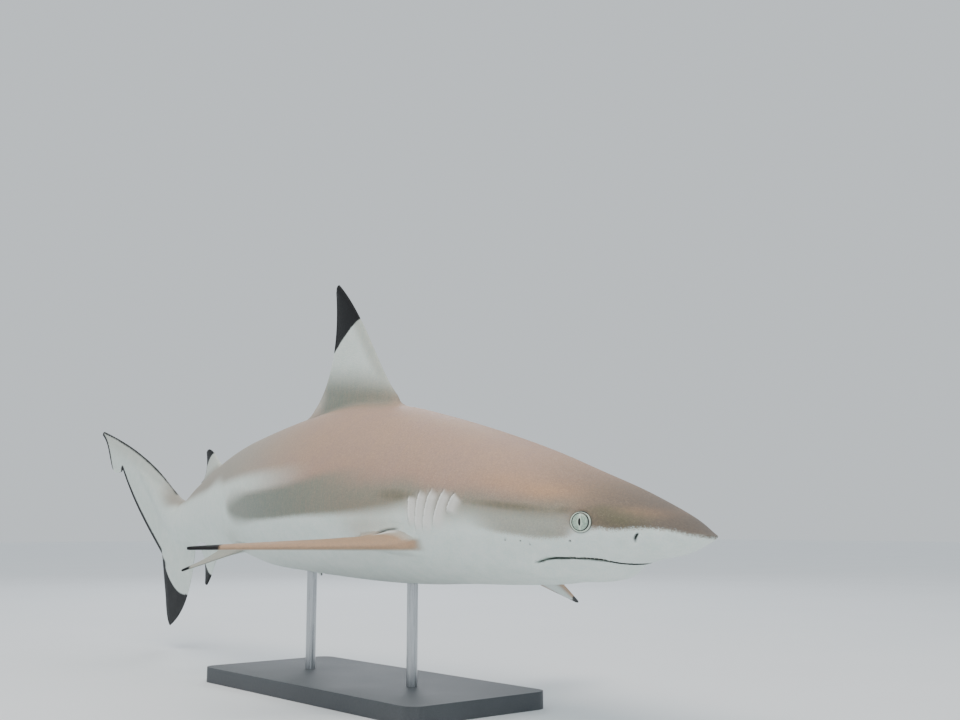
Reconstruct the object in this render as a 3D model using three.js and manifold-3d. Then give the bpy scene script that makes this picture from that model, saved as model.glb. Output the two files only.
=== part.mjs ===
// Blacktip reef shark (Carcharhinus melanopterus), a life-size display model on a plain stand.
//
// The body is drawn straight first. "Station" is the distance behind the snout tip; it, and all
// other body sizes, are in hundredths of the total length. x runs forward, y to the shark's left,
// z up. The straight solids are cut from one another and then bent along the swimming backbone.

import * as THREE from 'three';
import { mergeVertices } from 'three/addons/utils/BufferGeometryUtils.js';
import Module from 'manifold-3d';

// ---------------------------------------------------------------- driving dimensions, mm

const TOTAL_LENGTH = 1400;
const HUNDREDTH = TOTAL_LENGTH / 100;
const PART_GAP = 0.3;
const MOUTH_OPENING = 1.8;
const FIN_EDGE = 1.0;
const FIN_NOSE = 0.7;

const EYE_LENGTH = 22;
const EYE_HEIGHT = 20.5;
const EYE_DEPTH = 14;
const EYE_SINK = 4.2;

const GILL_WIDTH = 1.3;
const GILL_DEPTH = 5;
const NOSTRIL_WIDTH = 1.8;
const NOSTRIL_DEPTH = 5;
const SLIT_LEAST_DEPTH = 0.8;
const SLIT_END_SHARE = 0.35;

const BASE_LENGTH = 430;
const BASE_WIDTH = 180;
const BASE_THICKNESS = 18;
const BASE_CORNER = 16;
const ROD_DIAMETER = 12;
const SNOUT_ABOVE_BASE = 155;
const BASE_STATION = 35;
const ROD_STATIONS = { stand_rod_front: 28, stand_rod_rear: 43 };

// ---------------------------------------------------------------- body lines, hundredths

const BACK_LINE = [
  [0, 0], [0.8, 0.3], [2.5, 1.06], [5, 1.87], [7.5, 2.61], [10.5, 3.44], [15, 4.72], [20, 5.91],
  [25, 6.94], [30, 7.8], [36, 8.05], [42, 7.45], [48, 6.7], [55, 5.85], [62, 4.7], [68, 3.55],
  [74, 2.3], [79, 4.1], [86, 7.5], [92, 10.6],
];
const BELLY_LINE = [
  [0, 0], [0.8, -0.6], [2.5, -1.48], [5, -2.22], [7.5, -3.22], [10.5, -4.27], [15, -4.96],
  [20, -5.44], [25, -5.95], [30, -6.2], [36, -6.2], [42, -6.0], [48, -5.6], [55, -4.35],
  [62, -3.5], [68, -2.7], [74, -2.2], [79, -0.5], [86, 5.5], [92, 10.2],
];
const HALF_WIDTH = [
  [0, 0], [0.8, 1.12], [2.5, 2.4], [5, 3.7], [7.5, 4.7], [10.5, 5.15], [15, 5.7], [20, 6.1],
  [25, 6.2], [30, 6.1], [36, 5.85], [42, 5.35], [48, 4.65], [55, 3.7], [62, 2.75], [68, 2.05],
  [74, 1.5], [79, 1.05], [86, 0.45], [92, 0.1],
];
const WIDEST_HEIGHT = [
  [0, 0], [2.5, -0.02], [7.5, 0], [15, 0.1], [25, 0], [42, 0.3], [62, 0.1], [74, 0], [79, 1.9],
  [86, 6.6], [92, 10.4],
];
const BACK_ROUNDNESS = [[0, 2], [10.5, 2.15], [30, 1.95], [86, 2]];
const BELLY_ROUNDNESS = [[0, 2], [5, 2.3], [20, 2.3], [48, 2.1], [86, 2]];

// Heading (left of +x) and nose-up tilt of the backbone, degrees.
const HEADING = [[0, 4.8], [15, 5.2], [30, 0.7], [45, -1.2], [60, -7.3], [75, -5.3], [100, 3.1]];
const TILT = [[0, -6.9], [30, -2.4], [60, 3.4], [100, 8.2]];

// ---------------------------------------------------------------- head details, hundredths

// Line of the mouth, from under the snout to its corner.
const MOUTH_LINE = [
  [5.65, -2.4], [6.4, -2.22], [7.45, -2.22], [8.5, -2.31], [9.95, -2.54], [10.65, -2.79],
];
const JAW_REAR = 12;
const JAW_REAR_DROP = 0.6;
const JAW_REAR_RAKE = 0.8;
const JAW_HALF_WIDTH = 4.6;
const JAW_SPREAD = 0.5;
const CHIN_LINE = [
  [5.75, -2.55], [5.9, -2.8], [6.15, -3.06], [6.6, -3.44], [7.2, -3.68], [8, -3.88], [9.5, -4.1],
  [10.5, -4.27], [12, -4.5], [14, -4.75],
];
const EYE_STATION = 7.03;
const EYE_Z = 0.12;
// Each slit runs through its top, middle and bottom.
const NOSTRIL = [[3.57, -0.17], [3.8, -0.5], [3.86, -0.88]];
const GILL_SLITS = [
  [[17.12, 1.27], [17.5, 0.59], [17.77, -0.26]],
  [[18.12, 1.51], [18.62, 0.17], [19.04, -1.51]],
  [[19.27, 1.51], [19.69, 0.01], [19.96, -1.89]],
  [[20.38, 1.32], [20.57, -0.17], [20.65, -1.85]],
  [[21.45, 0.83], [21.34, -0.28], [21.26, -1.49]],
];

// ---------------------------------------------------------------- paired fins, hundredths

// Bow is how far the leading edge swells forward; rearFill is how little the rear edge is hollowed.
const PECTORAL = {
  chord: 6.2, bury: 2, rearLobe: [3.2, 3.2], bow: 0.4, rearFill: 0.6, tipChord: 0.35,
  thickness: 1.15, rows: 13,
};
const PELVIC = {
  chord: 4, bury: 1.5, rearLobe: [2.6, 1.2], bow: 0.25, rearFill: 0.33, tipChord: 0.3,
  thickness: 0.6, rows: 9,
};
// Root is [station, side, height]; droop and sweep are in degrees. Each is at its own point of
// the stroke.
const PAIRED_FINS = {
  pectoral_fin_left: {
    planform: PECTORAL, sideSign: 1, root: [19.8, 4.6, -3.0], droop: 21, sweep: 28.5, span: 17,
  },
  pectoral_fin_right: {
    planform: PECTORAL, sideSign: -1, root: [19.8, 4.6, -2.62], droop: 4.2, sweep: 47, span: 17.9,
  },
  pelvic_fin_left: {
    planform: PELVIC, sideSign: 1, root: [48.4, 2.4, -3.6], droop: 34, sweep: 45, span: 7.6,
  },
  pelvic_fin_right: {
    planform: PELVIC, sideSign: -1, root: [48.4, 2.4, -3.6], droop: 24, sweep: 42, span: 7.6,
  },
};

// ---------------------------------------------------------------- partings and fineness

// Where the body is parted into its lengths.
const NECK_STATION = 16;
const SHOULDER_STATION = 28;
const BELLY_STATION = 47;
const VENT_STATION = 58;
const STALK_STATION = 73.4;
const TAIL_CORE_END = 92;
const TAIL_FORK = [79.4, -4.35];
const LOBE_TOP = -0.9;
// Cutting prisms reach this far to each side, and this far down.
const CUT_REACH = 30;
const CUT_FLOOR = -20;

const RING_POINTS = 32;
const JAW_RING_POINTS = 15;
const FIN_CHORD_POINTS = 7;
const SLIT_STEPS = 4;
const ROD_FACETS = 20;

// ---------------------------------------------------------------- curves

/** Smooth curve through [position, value] pairs, with the slope of the neighbours at each. */
function curveThrough(pairs, position = (x) => x) {
  const xs = pairs.map(([x]) => position(x));
  const ys = pairs.map(([, y]) => y);
  const last = xs.length - 1;
  const secant = (i) => (ys[i + 1] - ys[i]) / (xs[i + 1] - xs[i]);
  const slopes = xs.map((x, i) => {
    if (i === 0) return secant(0);
    if (i === last) return secant(last - 1);
    const before = x - xs[i - 1];
    const after = xs[i + 1] - x;
    return (secant(i - 1) * after + secant(i) * before) / (before + after);
  });
  return (value) => {
    const x = THREE.MathUtils.clamp(position(value), xs[0], xs[last]);
    let i = 0;
    while (i < last - 1 && x > xs[i + 1]) i += 1;
    const span = xs[i + 1] - xs[i];
    const t = (x - xs[i]) / span;
    const rise = ys[i + 1] - ys[i];
    const a = slopes[i] * span - rise;
    const b = rise - slopes[i + 1] * span;
    return ys[i] + t * rise + t * (1 - t) * (a * (1 - t) + b * t);
  };
}

const backLine = curveThrough(BACK_LINE, Math.sqrt);
const bellyLine = curveThrough(BELLY_LINE, Math.sqrt);
const halfWidth = curveThrough(HALF_WIDTH, Math.sqrt);
const widestHeight = curveThrough(WIDEST_HEIGHT, Math.sqrt);
const backRoundness = curveThrough(BACK_ROUNDNESS);
const bellyRoundness = curveThrough(BELLY_ROUNDNESS);
const mouthLine = curveThrough(MOUTH_LINE);
const chinLine = curveThrough(CHIN_LINE);
const mouthFront = MOUTH_LINE[0][0];
const [mouthCorner, mouthCornerZ] = MOUTH_LINE.at(-1);
const heading = curveThrough(HEADING);
const tilt = curveThrough(TILT);

/** Stations from first to last, about `step` apart. */
function stationsBetween(first, last, step) {
  const count = Math.max(1, Math.round((last - first) / step));
  return Array.from({ length: count + 1 }, (_, i) => first + ((last - first) * i) / count);
}

const straight = (station, side, height) =>
  new THREE.Vector3(-station, side, height).multiplyScalar(HUNDREDTH);

// ---------------------------------------------------------------- solids

const wasm = await Module();
wasm.setup();

/** Closed geometry through equal rings of points, with flat or pointed ends. */
function loft(rings) {
  const count = rings[0].length;
  const positions = rings.flat().flatMap((p) => [p.x, p.y, p.z]);
  const triangles = [];
  for (let i = 0; i + 1 < rings.length; i += 1) {
    for (let j = 0; j < count; j += 1) {
      const a = i * count + j;
      const b = i * count + ((j + 1) % count);
      triangles.push(a, b, b + count, a, b + count, a + count);
    }
  }
  const lastRing = (rings.length - 1) * count;
  for (let low = 0, high = count - 1; low + 1 < high; ) {
    triangles.push(low, high, low + 1);
    triangles.push(lastRing + low, lastRing + low + 1, lastRing + high);
    low += 1;
    if (low + 1 < high) {
      triangles.push(low, high, high - 1);
      triangles.push(lastRing + low, lastRing + high - 1, lastRing + high);
    }
    high -= 1;
  }
  const geometry = new THREE.BufferGeometry();
  geometry.setAttribute('position', new THREE.Float32BufferAttribute(positions, 3));
  geometry.setIndex(triangles);
  return geometry;
}

/** The same geometry as a solid that can be joined and cut, facing out. */
function solid(geometry) {
  const bare = geometry.clone();
  bare.deleteAttribute('normal');
  bare.deleteAttribute('uv');
  const merged = mergeVertices(bare, 1e-5);
  const triVerts = Uint32Array.from(merged.index.array);
  const vertProperties = Float32Array.from(merged.attributes.position.array);
  if (signedVolume(vertProperties, triVerts) < 0) {
    for (let i = 0; i < triVerts.length; i += 3) {
      [triVerts[i], triVerts[i + 1]] = [triVerts[i + 1], triVerts[i]];
    }
  }
  return new wasm.Manifold(new wasm.Mesh({ numProp: 3, vertProperties, triVerts }));
}

function signedVolume(positions, triangles) {
  const corner = (i) => new THREE.Vector3().fromArray(positions, triangles[i] * 3);
  let volume = 0;
  for (let i = 0; i < triangles.length; i += 3) {
    volume += corner(i).dot(corner(i + 1).cross(corner(i + 2)));
  }
  return volume;
}

/** A prism: a side-view outline of [station, height] points, across the whole body. */
function sidePrism(outline) {
  const shape = new THREE.Shape(outline.map(([station, z]) => new THREE.Vector2(-station, z)));
  const geometry = new THREE.ExtrudeGeometry(shape, { depth: 2 * CUT_REACH, bevelEnabled: false });
  geometry.translate(0, 0, -CUT_REACH);
  geometry.rotateX(Math.PI / 2);
  geometry.scale(HUNDREDTH, HUNDREDTH, HUNDREDTH);
  return solid(geometry);
}

// ---------------------------------------------------------------- body

/** Ring of the body around one station, grown outward by `grow` mm. */
function bodyRing(station, grow) {
  const extra = grow / HUNDREDTH;
  const middle = widestHeight(station);
  const width = halfWidth(station) + extra;
  const rise = backLine(station) - middle + extra;
  const drop = middle - bellyLine(station) + extra;
  return Array.from({ length: RING_POINTS }, (_, i) => {
    const angle = (2 * Math.PI * i) / RING_POINTS;
    const up = Math.cos(angle);
    const left = Math.sin(angle);
    const power = 2 / (up >= 0 ? backRoundness(station) : bellyRoundness(station));
    const reach = up >= 0 ? rise : drop;
    return straight(
      station,
      width * Math.sign(left) * Math.abs(left) ** power,
      middle + reach * Math.sign(up) * Math.abs(up) ** power,
    );
  });
}

const SNOUT_STATIONS = [0.02, 0.12, 0.35, 0.8, 1.5, 2.5, 3.6];

/** The straight body between two stations, grown outward by `grow` mm. */
function bodyLength(first, last, grow = 0) {
  const step = last > TAIL_CORE_END - 1 ? 2 : 3;
  const front = first === 0 ? SNOUT_STATIONS : [];
  const start = first === 0 ? 4.6 : first;
  const stations = [...front, ...stationsBetween(start, last, first === 0 ? 1.6 : step)];
  return solid(loft(stations.map((station) => bodyRing(station, grow))));
}

/** The lower jaw, drawn under the mouth line from the chin back into the throat. */
function jawBulk() {
  const rings = CHIN_LINE.map(([station]) => {
    const share = Math.min(1, (station - mouthFront) / (mouthCorner - mouthFront));
    const width = JAW_HALF_WIDTH * share ** JAW_SPREAD;
    const top = mouthLine(station);
    const drop = top - chinLine(station);
    return Array.from({ length: JAW_RING_POINTS }, (_, i) => {
      const angle = (Math.PI * i) / (JAW_RING_POINTS - 1);
      return straight(station, width * Math.cos(angle), top - drop * Math.sin(angle) ** 0.9);
    });
  });
  return solid(loft(rings));
}

// ---------------------------------------------------------------- fins

/** Points along a cubic curve between [a, b] pairs. */
function bend(points, count) {
  const corners = points.map(([a, b]) => new THREE.Vector2(a, b));
  return new THREE.CubicBezierCurve(...corners).getPoints(count - 1);
}

/** Several curves joined end to end. */
const joined = (...curves) => curves.flatMap((curve, i) => (i === 0 ? curve : curve.slice(1)));

/**
 * A fin: rows from root to tip, each a streamlined section from the leading to the trailing edge.
 * `place` turns fin coordinates and a height off the blade into a point.
 */
function fin(leading, trailing, rootThickness, tipThickness, place) {
  const rings = leading.map((front, row) => {
    const back = trailing[row];
    const chord = front.distanceTo(back);
    const share = row / (leading.length - 1);
    const full = THREE.MathUtils.lerp(rootThickness, tipThickness, share);
    const thickness = Math.min(full, chord / 2);
    const section = Array.from({ length: FIN_CHORD_POINTS }, (_, i) => {
      const u = (1 - Math.cos((Math.PI * i) / (FIN_CHORD_POINTS - 1))) / 2;
      const fullness = 2.6 * Math.sqrt(u) * (1 - u);
      const least = i === 0 ? FIN_NOSE : FIN_EDGE;
      const half = Math.max(thickness * fullness, least / HUNDREDTH) / 2;
      return { at: front.clone().lerp(back, u), half };
    });
    const upper = section.map(({ at, half }) => place(at.x, at.y, half));
    const lower = section.map(({ at, half }) => place(at.x, at.y, -half)).reverse();
    return [...upper, ...lower];
  });
  return solid(loft(rings));
}

const upright = (station, height, off) => straight(station, off, height);

function firstDorsalFin() {
  const leading = bend([[28.6, 7.4], [32.2, 7.9], [34.75, 15], [39.6, 19]], 13);
  const innerEdge = bend([[40.8, 6.9], [42, 7.0], [43.6, 7.1], [44.9, 7.32]], 4);
  const hollow = bend([[44.9, 7.32], [42.5, 7.75], [38.95, 11.1], [40, 18.4]], 10);
  return fin(leading, joined(innerEdge, hollow), 1.0, 0.3, upright);
}

function secondDorsalFin() {
  const leading = bend([[61.8, 4.1], [64, 4.6], [65, 6.6], [67, 7.05]], 9);
  const innerEdge = bend([[66.8, 3.0], [67.6, 3.15], [68.6, 3.45], [69.4, 3.75]], 3);
  const hollow = bend([[69.4, 3.75], [68, 4.1], [67.3, 5], [67.8, 6.85]], 7);
  return fin(leading, joined(innerEdge, hollow), 0.6, 0.22, upright);
}

function analFin() {
  const leading = bend([[61.8, -3.2], [64.8, -3.4], [65.2, -5.9], [67.6, -7.1]], 9);
  const innerEdge = bend([[66.6, -2.5], [67.6, -2.7], [68.5, -3.1], [69.2, -3.5]], 3);
  const hollow = bend([[69.2, -3.5], [68.4, -3.9], [67.7, -5.2], [68.1, -6.9]], 7);
  return fin(leading, joined(innerEdge, hollow), 0.6, 0.22, upright);
}

function tailFin() {
  const upperEdge = bend([[74.2, 1.9], [79.8, 5.75], [88, 10.2], [97.8, 14.4]], 25);
  const lowerLobeFront = bend([[70.6, -1.9], [71.9, -4.9], [72.4, -9.2], [78.9, -10.95]], 6);
  const lowerLobeBack = bend([[78.9, -10.95], [80.2, -10.3], [80.7, -6.4], TAIL_FORK], 6);
  const hollow = bend([TAIL_FORK, [82.6, -1.75], [88.9, 2.4], [92.8, 8.7]], 9);
  const endLobeFoot = bend([[93.1, 8.45], [94, 8.35], [95.2, 8.6], [95.95, 9.15]], 3);
  const endLobeBack = bend([[95.95, 9.15], [96.5, 10.4], [96.3, 12.4], [98.3, 14.1]], 4);
  const lobeEdge = joined(lowerLobeFront, lowerLobeBack, hollow);
  return fin(upperEdge, [...lobeEdge, ...joined(endLobeFoot, endLobeBack)], 1.3, 0.25, upright);
}

/** Placement of a paired fin: root at [station, side, height], the blade drooping outward. */
function pairedPlacement(sideSign, [station, side, height], droop) {
  const angle = THREE.MathUtils.degToRad(droop);
  return (back, out, off) =>
    straight(
      station + back,
      sideSign * (side + out * Math.cos(angle) + off * Math.sin(angle)),
      height - out * Math.sin(angle) + off * Math.cos(angle),
    );
}

/** Paired fin from its planform, root, droop, sweep and span. */
function pairedFin({ planform, sideSign, root, droop, sweep, span }) {
  const placement = pairedPlacement(sideSign, root, droop);
  const { chord, bury, rearLobe, bow, rearFill, tipChord, thickness, rows } = planform;
  const angle = THREE.MathUtils.degToRad(sweep);
  const tip = [span * Math.sin(angle), span * Math.cos(angle)];
  const rear = [chord + rearLobe[0], rearLobe[1]];
  const tipBack = [tip[0] + tipChord, tip[1] - tipChord / 2];
  const toward = (share, shiftBack, shiftOut) => [
    tip[0] * share + shiftBack,
    tip[1] * share + shiftOut,
  ];
  const innerRows = 3;
  const leading = bend(
    [[0, 0], toward(0.33, -bow, bow * 0.7), toward(0.72, -bow, bow), tip],
    rows,
  );
  const innerEdge = bend(
    [
      [chord, 0],
      [chord + rearLobe[0] * 0.3, rearLobe[1] * 0.25],
      [chord + rearLobe[0] * 0.7, rearLobe[1] * 0.7],
      rear,
    ],
    innerRows,
  );
  const hollow = bend(
    [
      rear,
      [rear[0] - rearLobe[0] * 0.35, rear[1] + rearLobe[1] * 0.2],
      [tipBack[0] * 0.66 + chord * rearFill, tipBack[1] * 0.66],
      tipBack,
    ],
    rows - innerRows + 1,
  );
  const buried = new THREE.Vector2(bury * 0.2, -bury);
  const buriedBack = new THREE.Vector2(chord - bury * 0.1, -bury);
  return fin(
    [buried, ...leading],
    [buriedBack, ...joined(innerEdge, hollow)],
    thickness,
    0.25,
    placement,
  );
}

// ---------------------------------------------------------------- head details

/** Point on the body's side at a station and height. */
function flankPoint(station, height, sideSign) {
  const middle = widestHeight(station);
  const above = height >= middle;
  const power = above ? backRoundness(station) : bellyRoundness(station);
  const reach = above ? backLine(station) - middle : middle - bellyLine(station);
  const share = Math.min(1, Math.abs(height - middle) / reach);
  const side = halfWidth(station) * (1 - share ** power) ** (1 / power);
  return straight(station, sideSign * side, height);
}

/** Outward direction of the flank at a station and height. */
function flankNormal(station, height, sideSign) {
  const step = 0.2;
  const ahead = flankPoint(station - step, height, sideSign);
  const behind = flankPoint(station + step, height, sideSign);
  const above = flankPoint(station, height + step, sideSign);
  const below = flankPoint(station, height - step, sideSign);
  const normal = ahead.sub(behind).cross(above.sub(below)).normalize();
  return normal.y * sideSign < 0 ? normal.negate() : normal;
}

function eyeball(sideSign, grow = 0) {
  const normal = flankNormal(EYE_STATION, EYE_Z, sideSign);
  const geometry = new THREE.SphereGeometry(1, 16, 10);
  geometry.scale(EYE_LENGTH / 2 + grow, EYE_HEIGHT / 2 + grow, EYE_DEPTH / 2 + grow);
  const frontward = new THREE.Vector3(1, 0, 0).projectOnPlane(normal).normalize();
  const upward = new THREE.Vector3().crossVectors(normal, frontward);
  geometry.applyMatrix4(new THREE.Matrix4().makeBasis(frontward, upward, normal));
  const centre = flankPoint(EYE_STATION, EYE_Z, sideSign).addScaledVector(normal, -EYE_SINK);
  geometry.translate(centre.x, centre.y, centre.z);
  return solid(geometry);
}

/** A curved slit in the flank: a thin blade through its top, middle and bottom. */
function slitBlade(sideSign, [top, middle, bottom], width, depth) {
  const rings = Array.from({ length: SLIT_STEPS + 1 }, (_, i) => {
    const share = i / SLIT_STEPS;
    const weights = [(1 - share) * (1 - 2 * share), 4 * share * (1 - share), share * (2 * share - 1)];
    const [station, z] = [0, 1].map(
      (axis) => top[axis] * weights[0] + middle[axis] * weights[1] + bottom[axis] * weights[2],
    );
    const swell = Math.sin(Math.PI * share);
    const inward = flankNormal(station, z, sideSign).negate();
    const surface = flankPoint(station, z, sideSign);
    const outer = surface.clone().addScaledVector(inward, -depth);
    const inner = surface.clone().addScaledVector(inward, depth * swell + SLIT_LEAST_DEPTH);
    const opening = width * THREE.MathUtils.lerp(SLIT_END_SHARE, 1, swell);
    const across = new THREE.Vector3(opening / 2, 0, 0);
    return [
      outer.clone().add(across),
      inner.clone().add(across),
      inner.clone().sub(across),
      outer.clone().sub(across),
    ];
  });
  return solid(loft(rings));
}

// ---------------------------------------------------------------- backbone

const SPINE_STEPS = 400;
const SPINE_FIRST = -4;
const SPINE_LAST = 104;

/** Backbone frames at even stations, with the snout tip at the start of the sum. */
function spineFrames() {
  const step = (SPINE_LAST - SPINE_FIRST) / SPINE_STEPS;
  const point = new THREE.Vector3();
  return Array.from({ length: SPINE_STEPS + 1 }, (_, i) => {
    const station = SPINE_FIRST + i * step;
    const turn = THREE.MathUtils.degToRad(heading(station));
    const rise = THREE.MathUtils.degToRad(tilt(station));
    const ahead = new THREE.Vector3(
      Math.cos(turn) * Math.cos(rise),
      Math.sin(turn) * Math.cos(rise),
      Math.sin(rise),
    );
    const left = new THREE.Vector3(-Math.sin(turn), Math.cos(turn), 0);
    const up = new THREE.Vector3().crossVectors(ahead, left);
    if (i > 0) point.addScaledVector(ahead, -step * HUNDREDTH);
    return { point: point.clone(), left, up };
  });
}

const frames = spineFrames();

/** Carries a straight point to its place on the bent body. */
function pose(point) {
  const station = -point.x / HUNDREDTH;
  const place = ((station - SPINE_FIRST) / (SPINE_LAST - SPINE_FIRST)) * SPINE_STEPS;
  const index = THREE.MathUtils.clamp(Math.floor(place), 0, SPINE_STEPS - 1);
  const share = place - index;
  const blend = (key) => frames[index][key].clone().lerp(frames[index + 1][key], share);
  return blend('point').addScaledVector(blend('left'), point.y).addScaledVector(blend('up'), point.z);
}

// ---------------------------------------------------------------- assembly

const skin = new THREE.MeshStandardMaterial({ name: 'skin', color: 0xa98f80, roughness: 0.45 });
const eyeMaterial = new THREE.MeshStandardMaterial({ name: 'eye', color: 0x9fb3a2, roughness: 0.1 });
const basePaint = new THREE.MeshStandardMaterial({
  name: 'stand_paint', color: 0x4a4d50, roughness: 0.55,
});
const rodSteel = new THREE.MeshStandardMaterial({
  name: 'stand_steel', color: 0xb9bcc0, roughness: 0.3, metalness: 1,
});

const group = new THREE.Group();
group.name = 'blacktip_reef_shark';

/** Adds a solid as a named mesh, bending it along the backbone when `carry` is given. */
function add(name, body, material, carry) {
  const { triVerts, vertProperties } = body.getMesh();
  const positions = Float32Array.from(vertProperties);
  const point = new THREE.Vector3();
  for (let i = 0; carry && i < positions.length; i += 3) {
    carry(point.fromArray(positions, i)).toArray(positions, i);
  }
  const geometry = new THREE.BufferGeometry();
  geometry.setAttribute('position', new THREE.BufferAttribute(positions, 3));
  geometry.setIndex(new THREE.BufferAttribute(Uint32Array.from(triVerts), 1));
  geometry.computeVertexNormals();
  const mesh = new THREE.Mesh(geometry, material);
  mesh.name = name;
  group.add(mesh);
}

const grownBody = bodyLength(0, TAIL_CORE_END, PART_GAP);
const half = PART_GAP / HUNDREDTH / 2;

// Head and lower jaw: one bulk parted along the mouth line.
const AHEAD_OF_ALL = -3;
const mouthCut = (frontLift, rearLift) => {
  const lip = stationsBetween(mouthFront, mouthCorner, 0.8).map((station) => {
    const share = (station - mouthFront) / (mouthCorner - mouthFront);
    return [station, mouthLine(station) + THREE.MathUtils.lerp(frontLift, rearLift, share)];
  });
  return sidePrism([
    [AHEAD_OF_ALL, lip[0][1]],
    ...lip,
    [JAW_REAR + rearLift, mouthCornerZ - JAW_REAR_DROP],
    [JAW_REAR + JAW_REAR_RAKE + rearLift, CUT_FLOOR],
    [AHEAD_OF_ALL, CUT_FLOOR],
  ]);
};
const headBulk = bodyLength(0, NECK_STATION - half).add(jawBulk());
let head = headBulk.subtract(mouthCut(MOUTH_OPENING / HUNDREDTH, 2 * half));
for (const sideSign of [1, -1]) {
  head = head.subtract(eyeball(sideSign, PART_GAP));
  head = head.subtract(slitBlade(sideSign, NOSTRIL, NOSTRIL_WIDTH, NOSTRIL_DEPTH));
}
add('head', head, skin, pose);
add('lower_jaw', headBulk.intersect(mouthCut(0, 0)), skin, pose);
add('eye_left', eyeball(1), eyeMaterial, pose);
add('eye_right', eyeball(-1), eyeMaterial, pose);

// Trunk lengths, with the gill slits in the first.
let gillRegion = bodyLength(NECK_STATION + half, SHOULDER_STATION - half);
for (const sideSign of [1, -1]) {
  for (const slit of GILL_SLITS) {
    gillRegion = gillRegion.subtract(slitBlade(sideSign, slit, GILL_WIDTH, GILL_DEPTH));
  }
}
add('gill_region', gillRegion, skin, pose);
add('trunk', bodyLength(SHOULDER_STATION + half, BELLY_STATION - half), skin, pose);
add('rear_trunk', bodyLength(BELLY_STATION + half, VENT_STATION - half), skin, pose);
add('tail_stalk', bodyLength(VENT_STATION + half, STALK_STATION - half), skin, pose);

// Unpaired fins.
add('first_dorsal_fin', firstDorsalFin().subtract(grownBody), skin, pose);
add('second_dorsal_fin', secondDorsalFin().subtract(grownBody), skin, pose);
add('anal_fin', analFin().subtract(grownBody), skin, pose);

// Tail fin: the blade and the backbone's end inside it, parted from the fork to the stalk.
const lobeCut = (lift) =>
  sidePrism([
    [VENT_STATION, LOBE_TOP + lift],
    [STALK_STATION, LOBE_TOP + lift],
    [TAIL_FORK[0], TAIL_FORK[1] + lift],
    [TAIL_FORK[0] + 6, TAIL_FORK[1] - 3 + lift],
    [TAIL_FORK[0] + 6, CUT_FLOOR],
    [VENT_STATION, CUT_FLOOR],
  ]);
const stalk = bodyLength(VENT_STATION, STALK_STATION + half, PART_GAP);
const tailBulk = tailFin().add(bodyLength(STALK_STATION + half, TAIL_CORE_END)).subtract(stalk);
add('tail_fin_upper_lobe', tailBulk.subtract(lobeCut(half)), skin, pose);
add('tail_fin_lower_lobe', tailBulk.intersect(lobeCut(-half)), skin, pose);

for (const [name, size] of Object.entries(PAIRED_FINS)) {
  add(name, pairedFin(size).subtract(grownBody), skin, pose);
}

// Stand: a flat base and two rods that stop just under the belly.
const baseTop = -SNOUT_ABOVE_BASE;
for (const [name, station] of Object.entries(ROD_STATIONS)) {
  const belly = pose(straight(station, 0, bellyLine(station)));
  const length = belly.z + 2 * ROD_DIAMETER - baseTop;
  const rod = new THREE.CylinderGeometry(ROD_DIAMETER / 2, ROD_DIAMETER / 2, length, ROD_FACETS);
  rod.rotateX(Math.PI / 2);
  rod.translate(belly.x, belly.y, baseTop + length / 2);
  const bentBody = bodyLength(station - 4, station + 4, PART_GAP).warp((p) => {
    pose(new THREE.Vector3().fromArray(p)).toArray(p);
  });
  add(name, solid(rod).subtract(bentBody), rodSteel);
}
const outline = new THREE.Shape();
const cornerX = BASE_LENGTH / 2 - BASE_CORNER;
const cornerY = BASE_WIDTH / 2 - BASE_CORNER;
outline.absarc(cornerX, cornerY, BASE_CORNER, 0, Math.PI / 2);
outline.absarc(-cornerX, cornerY, BASE_CORNER, Math.PI / 2, Math.PI);
outline.absarc(-cornerX, -cornerY, BASE_CORNER, Math.PI, 1.5 * Math.PI);
outline.absarc(cornerX, -cornerY, BASE_CORNER, 1.5 * Math.PI, 2 * Math.PI);
const slab = new THREE.ExtrudeGeometry(outline, {
  depth: BASE_THICKNESS, bevelEnabled: false, curveSegments: 6,
});
const middle = pose(straight(BASE_STATION, 0, 0));
slab.translate(middle.x, middle.y, baseTop - BASE_THICKNESS);
add('stand_base', solid(slab), basePaint);

// The origin is at the middle of the bounding box, on the floor.
const box = new THREE.Box3().setFromObject(group);
const centre = box.getCenter(new THREE.Vector3());
for (const mesh of group.children) {
  mesh.geometry.translate(-centre.x, -centre.y, -box.min.z);
}

export default group;
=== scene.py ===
"""A blacktip reef shark on a plain display stand.

The body is drawn straight, in hundredths of its total length: station runs back from the snout
tip, side to the shark's left, height up. Body, jaw and fins are joined into one skin, its eyes,
gills, nostrils and mouth are worked in, and the skin is then bent along the swimming backbone.
"""

import math

import bmesh
import bpy
import numpy as np
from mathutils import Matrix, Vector
from mathutils.kdtree import KDTree


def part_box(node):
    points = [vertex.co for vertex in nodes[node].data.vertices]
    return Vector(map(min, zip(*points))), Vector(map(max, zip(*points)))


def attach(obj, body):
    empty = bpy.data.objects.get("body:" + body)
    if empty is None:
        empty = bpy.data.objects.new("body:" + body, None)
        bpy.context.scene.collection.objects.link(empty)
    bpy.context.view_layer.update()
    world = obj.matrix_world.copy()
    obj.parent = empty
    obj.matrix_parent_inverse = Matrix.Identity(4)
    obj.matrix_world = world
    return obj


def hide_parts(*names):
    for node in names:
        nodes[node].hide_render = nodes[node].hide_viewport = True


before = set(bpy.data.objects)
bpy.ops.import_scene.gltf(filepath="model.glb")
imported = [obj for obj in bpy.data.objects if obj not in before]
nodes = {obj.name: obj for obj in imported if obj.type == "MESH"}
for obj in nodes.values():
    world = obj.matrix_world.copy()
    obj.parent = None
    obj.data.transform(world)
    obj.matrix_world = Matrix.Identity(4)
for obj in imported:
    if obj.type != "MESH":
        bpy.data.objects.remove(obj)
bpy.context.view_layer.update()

# ---------------------------------------------------------------- driving sizes

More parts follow.
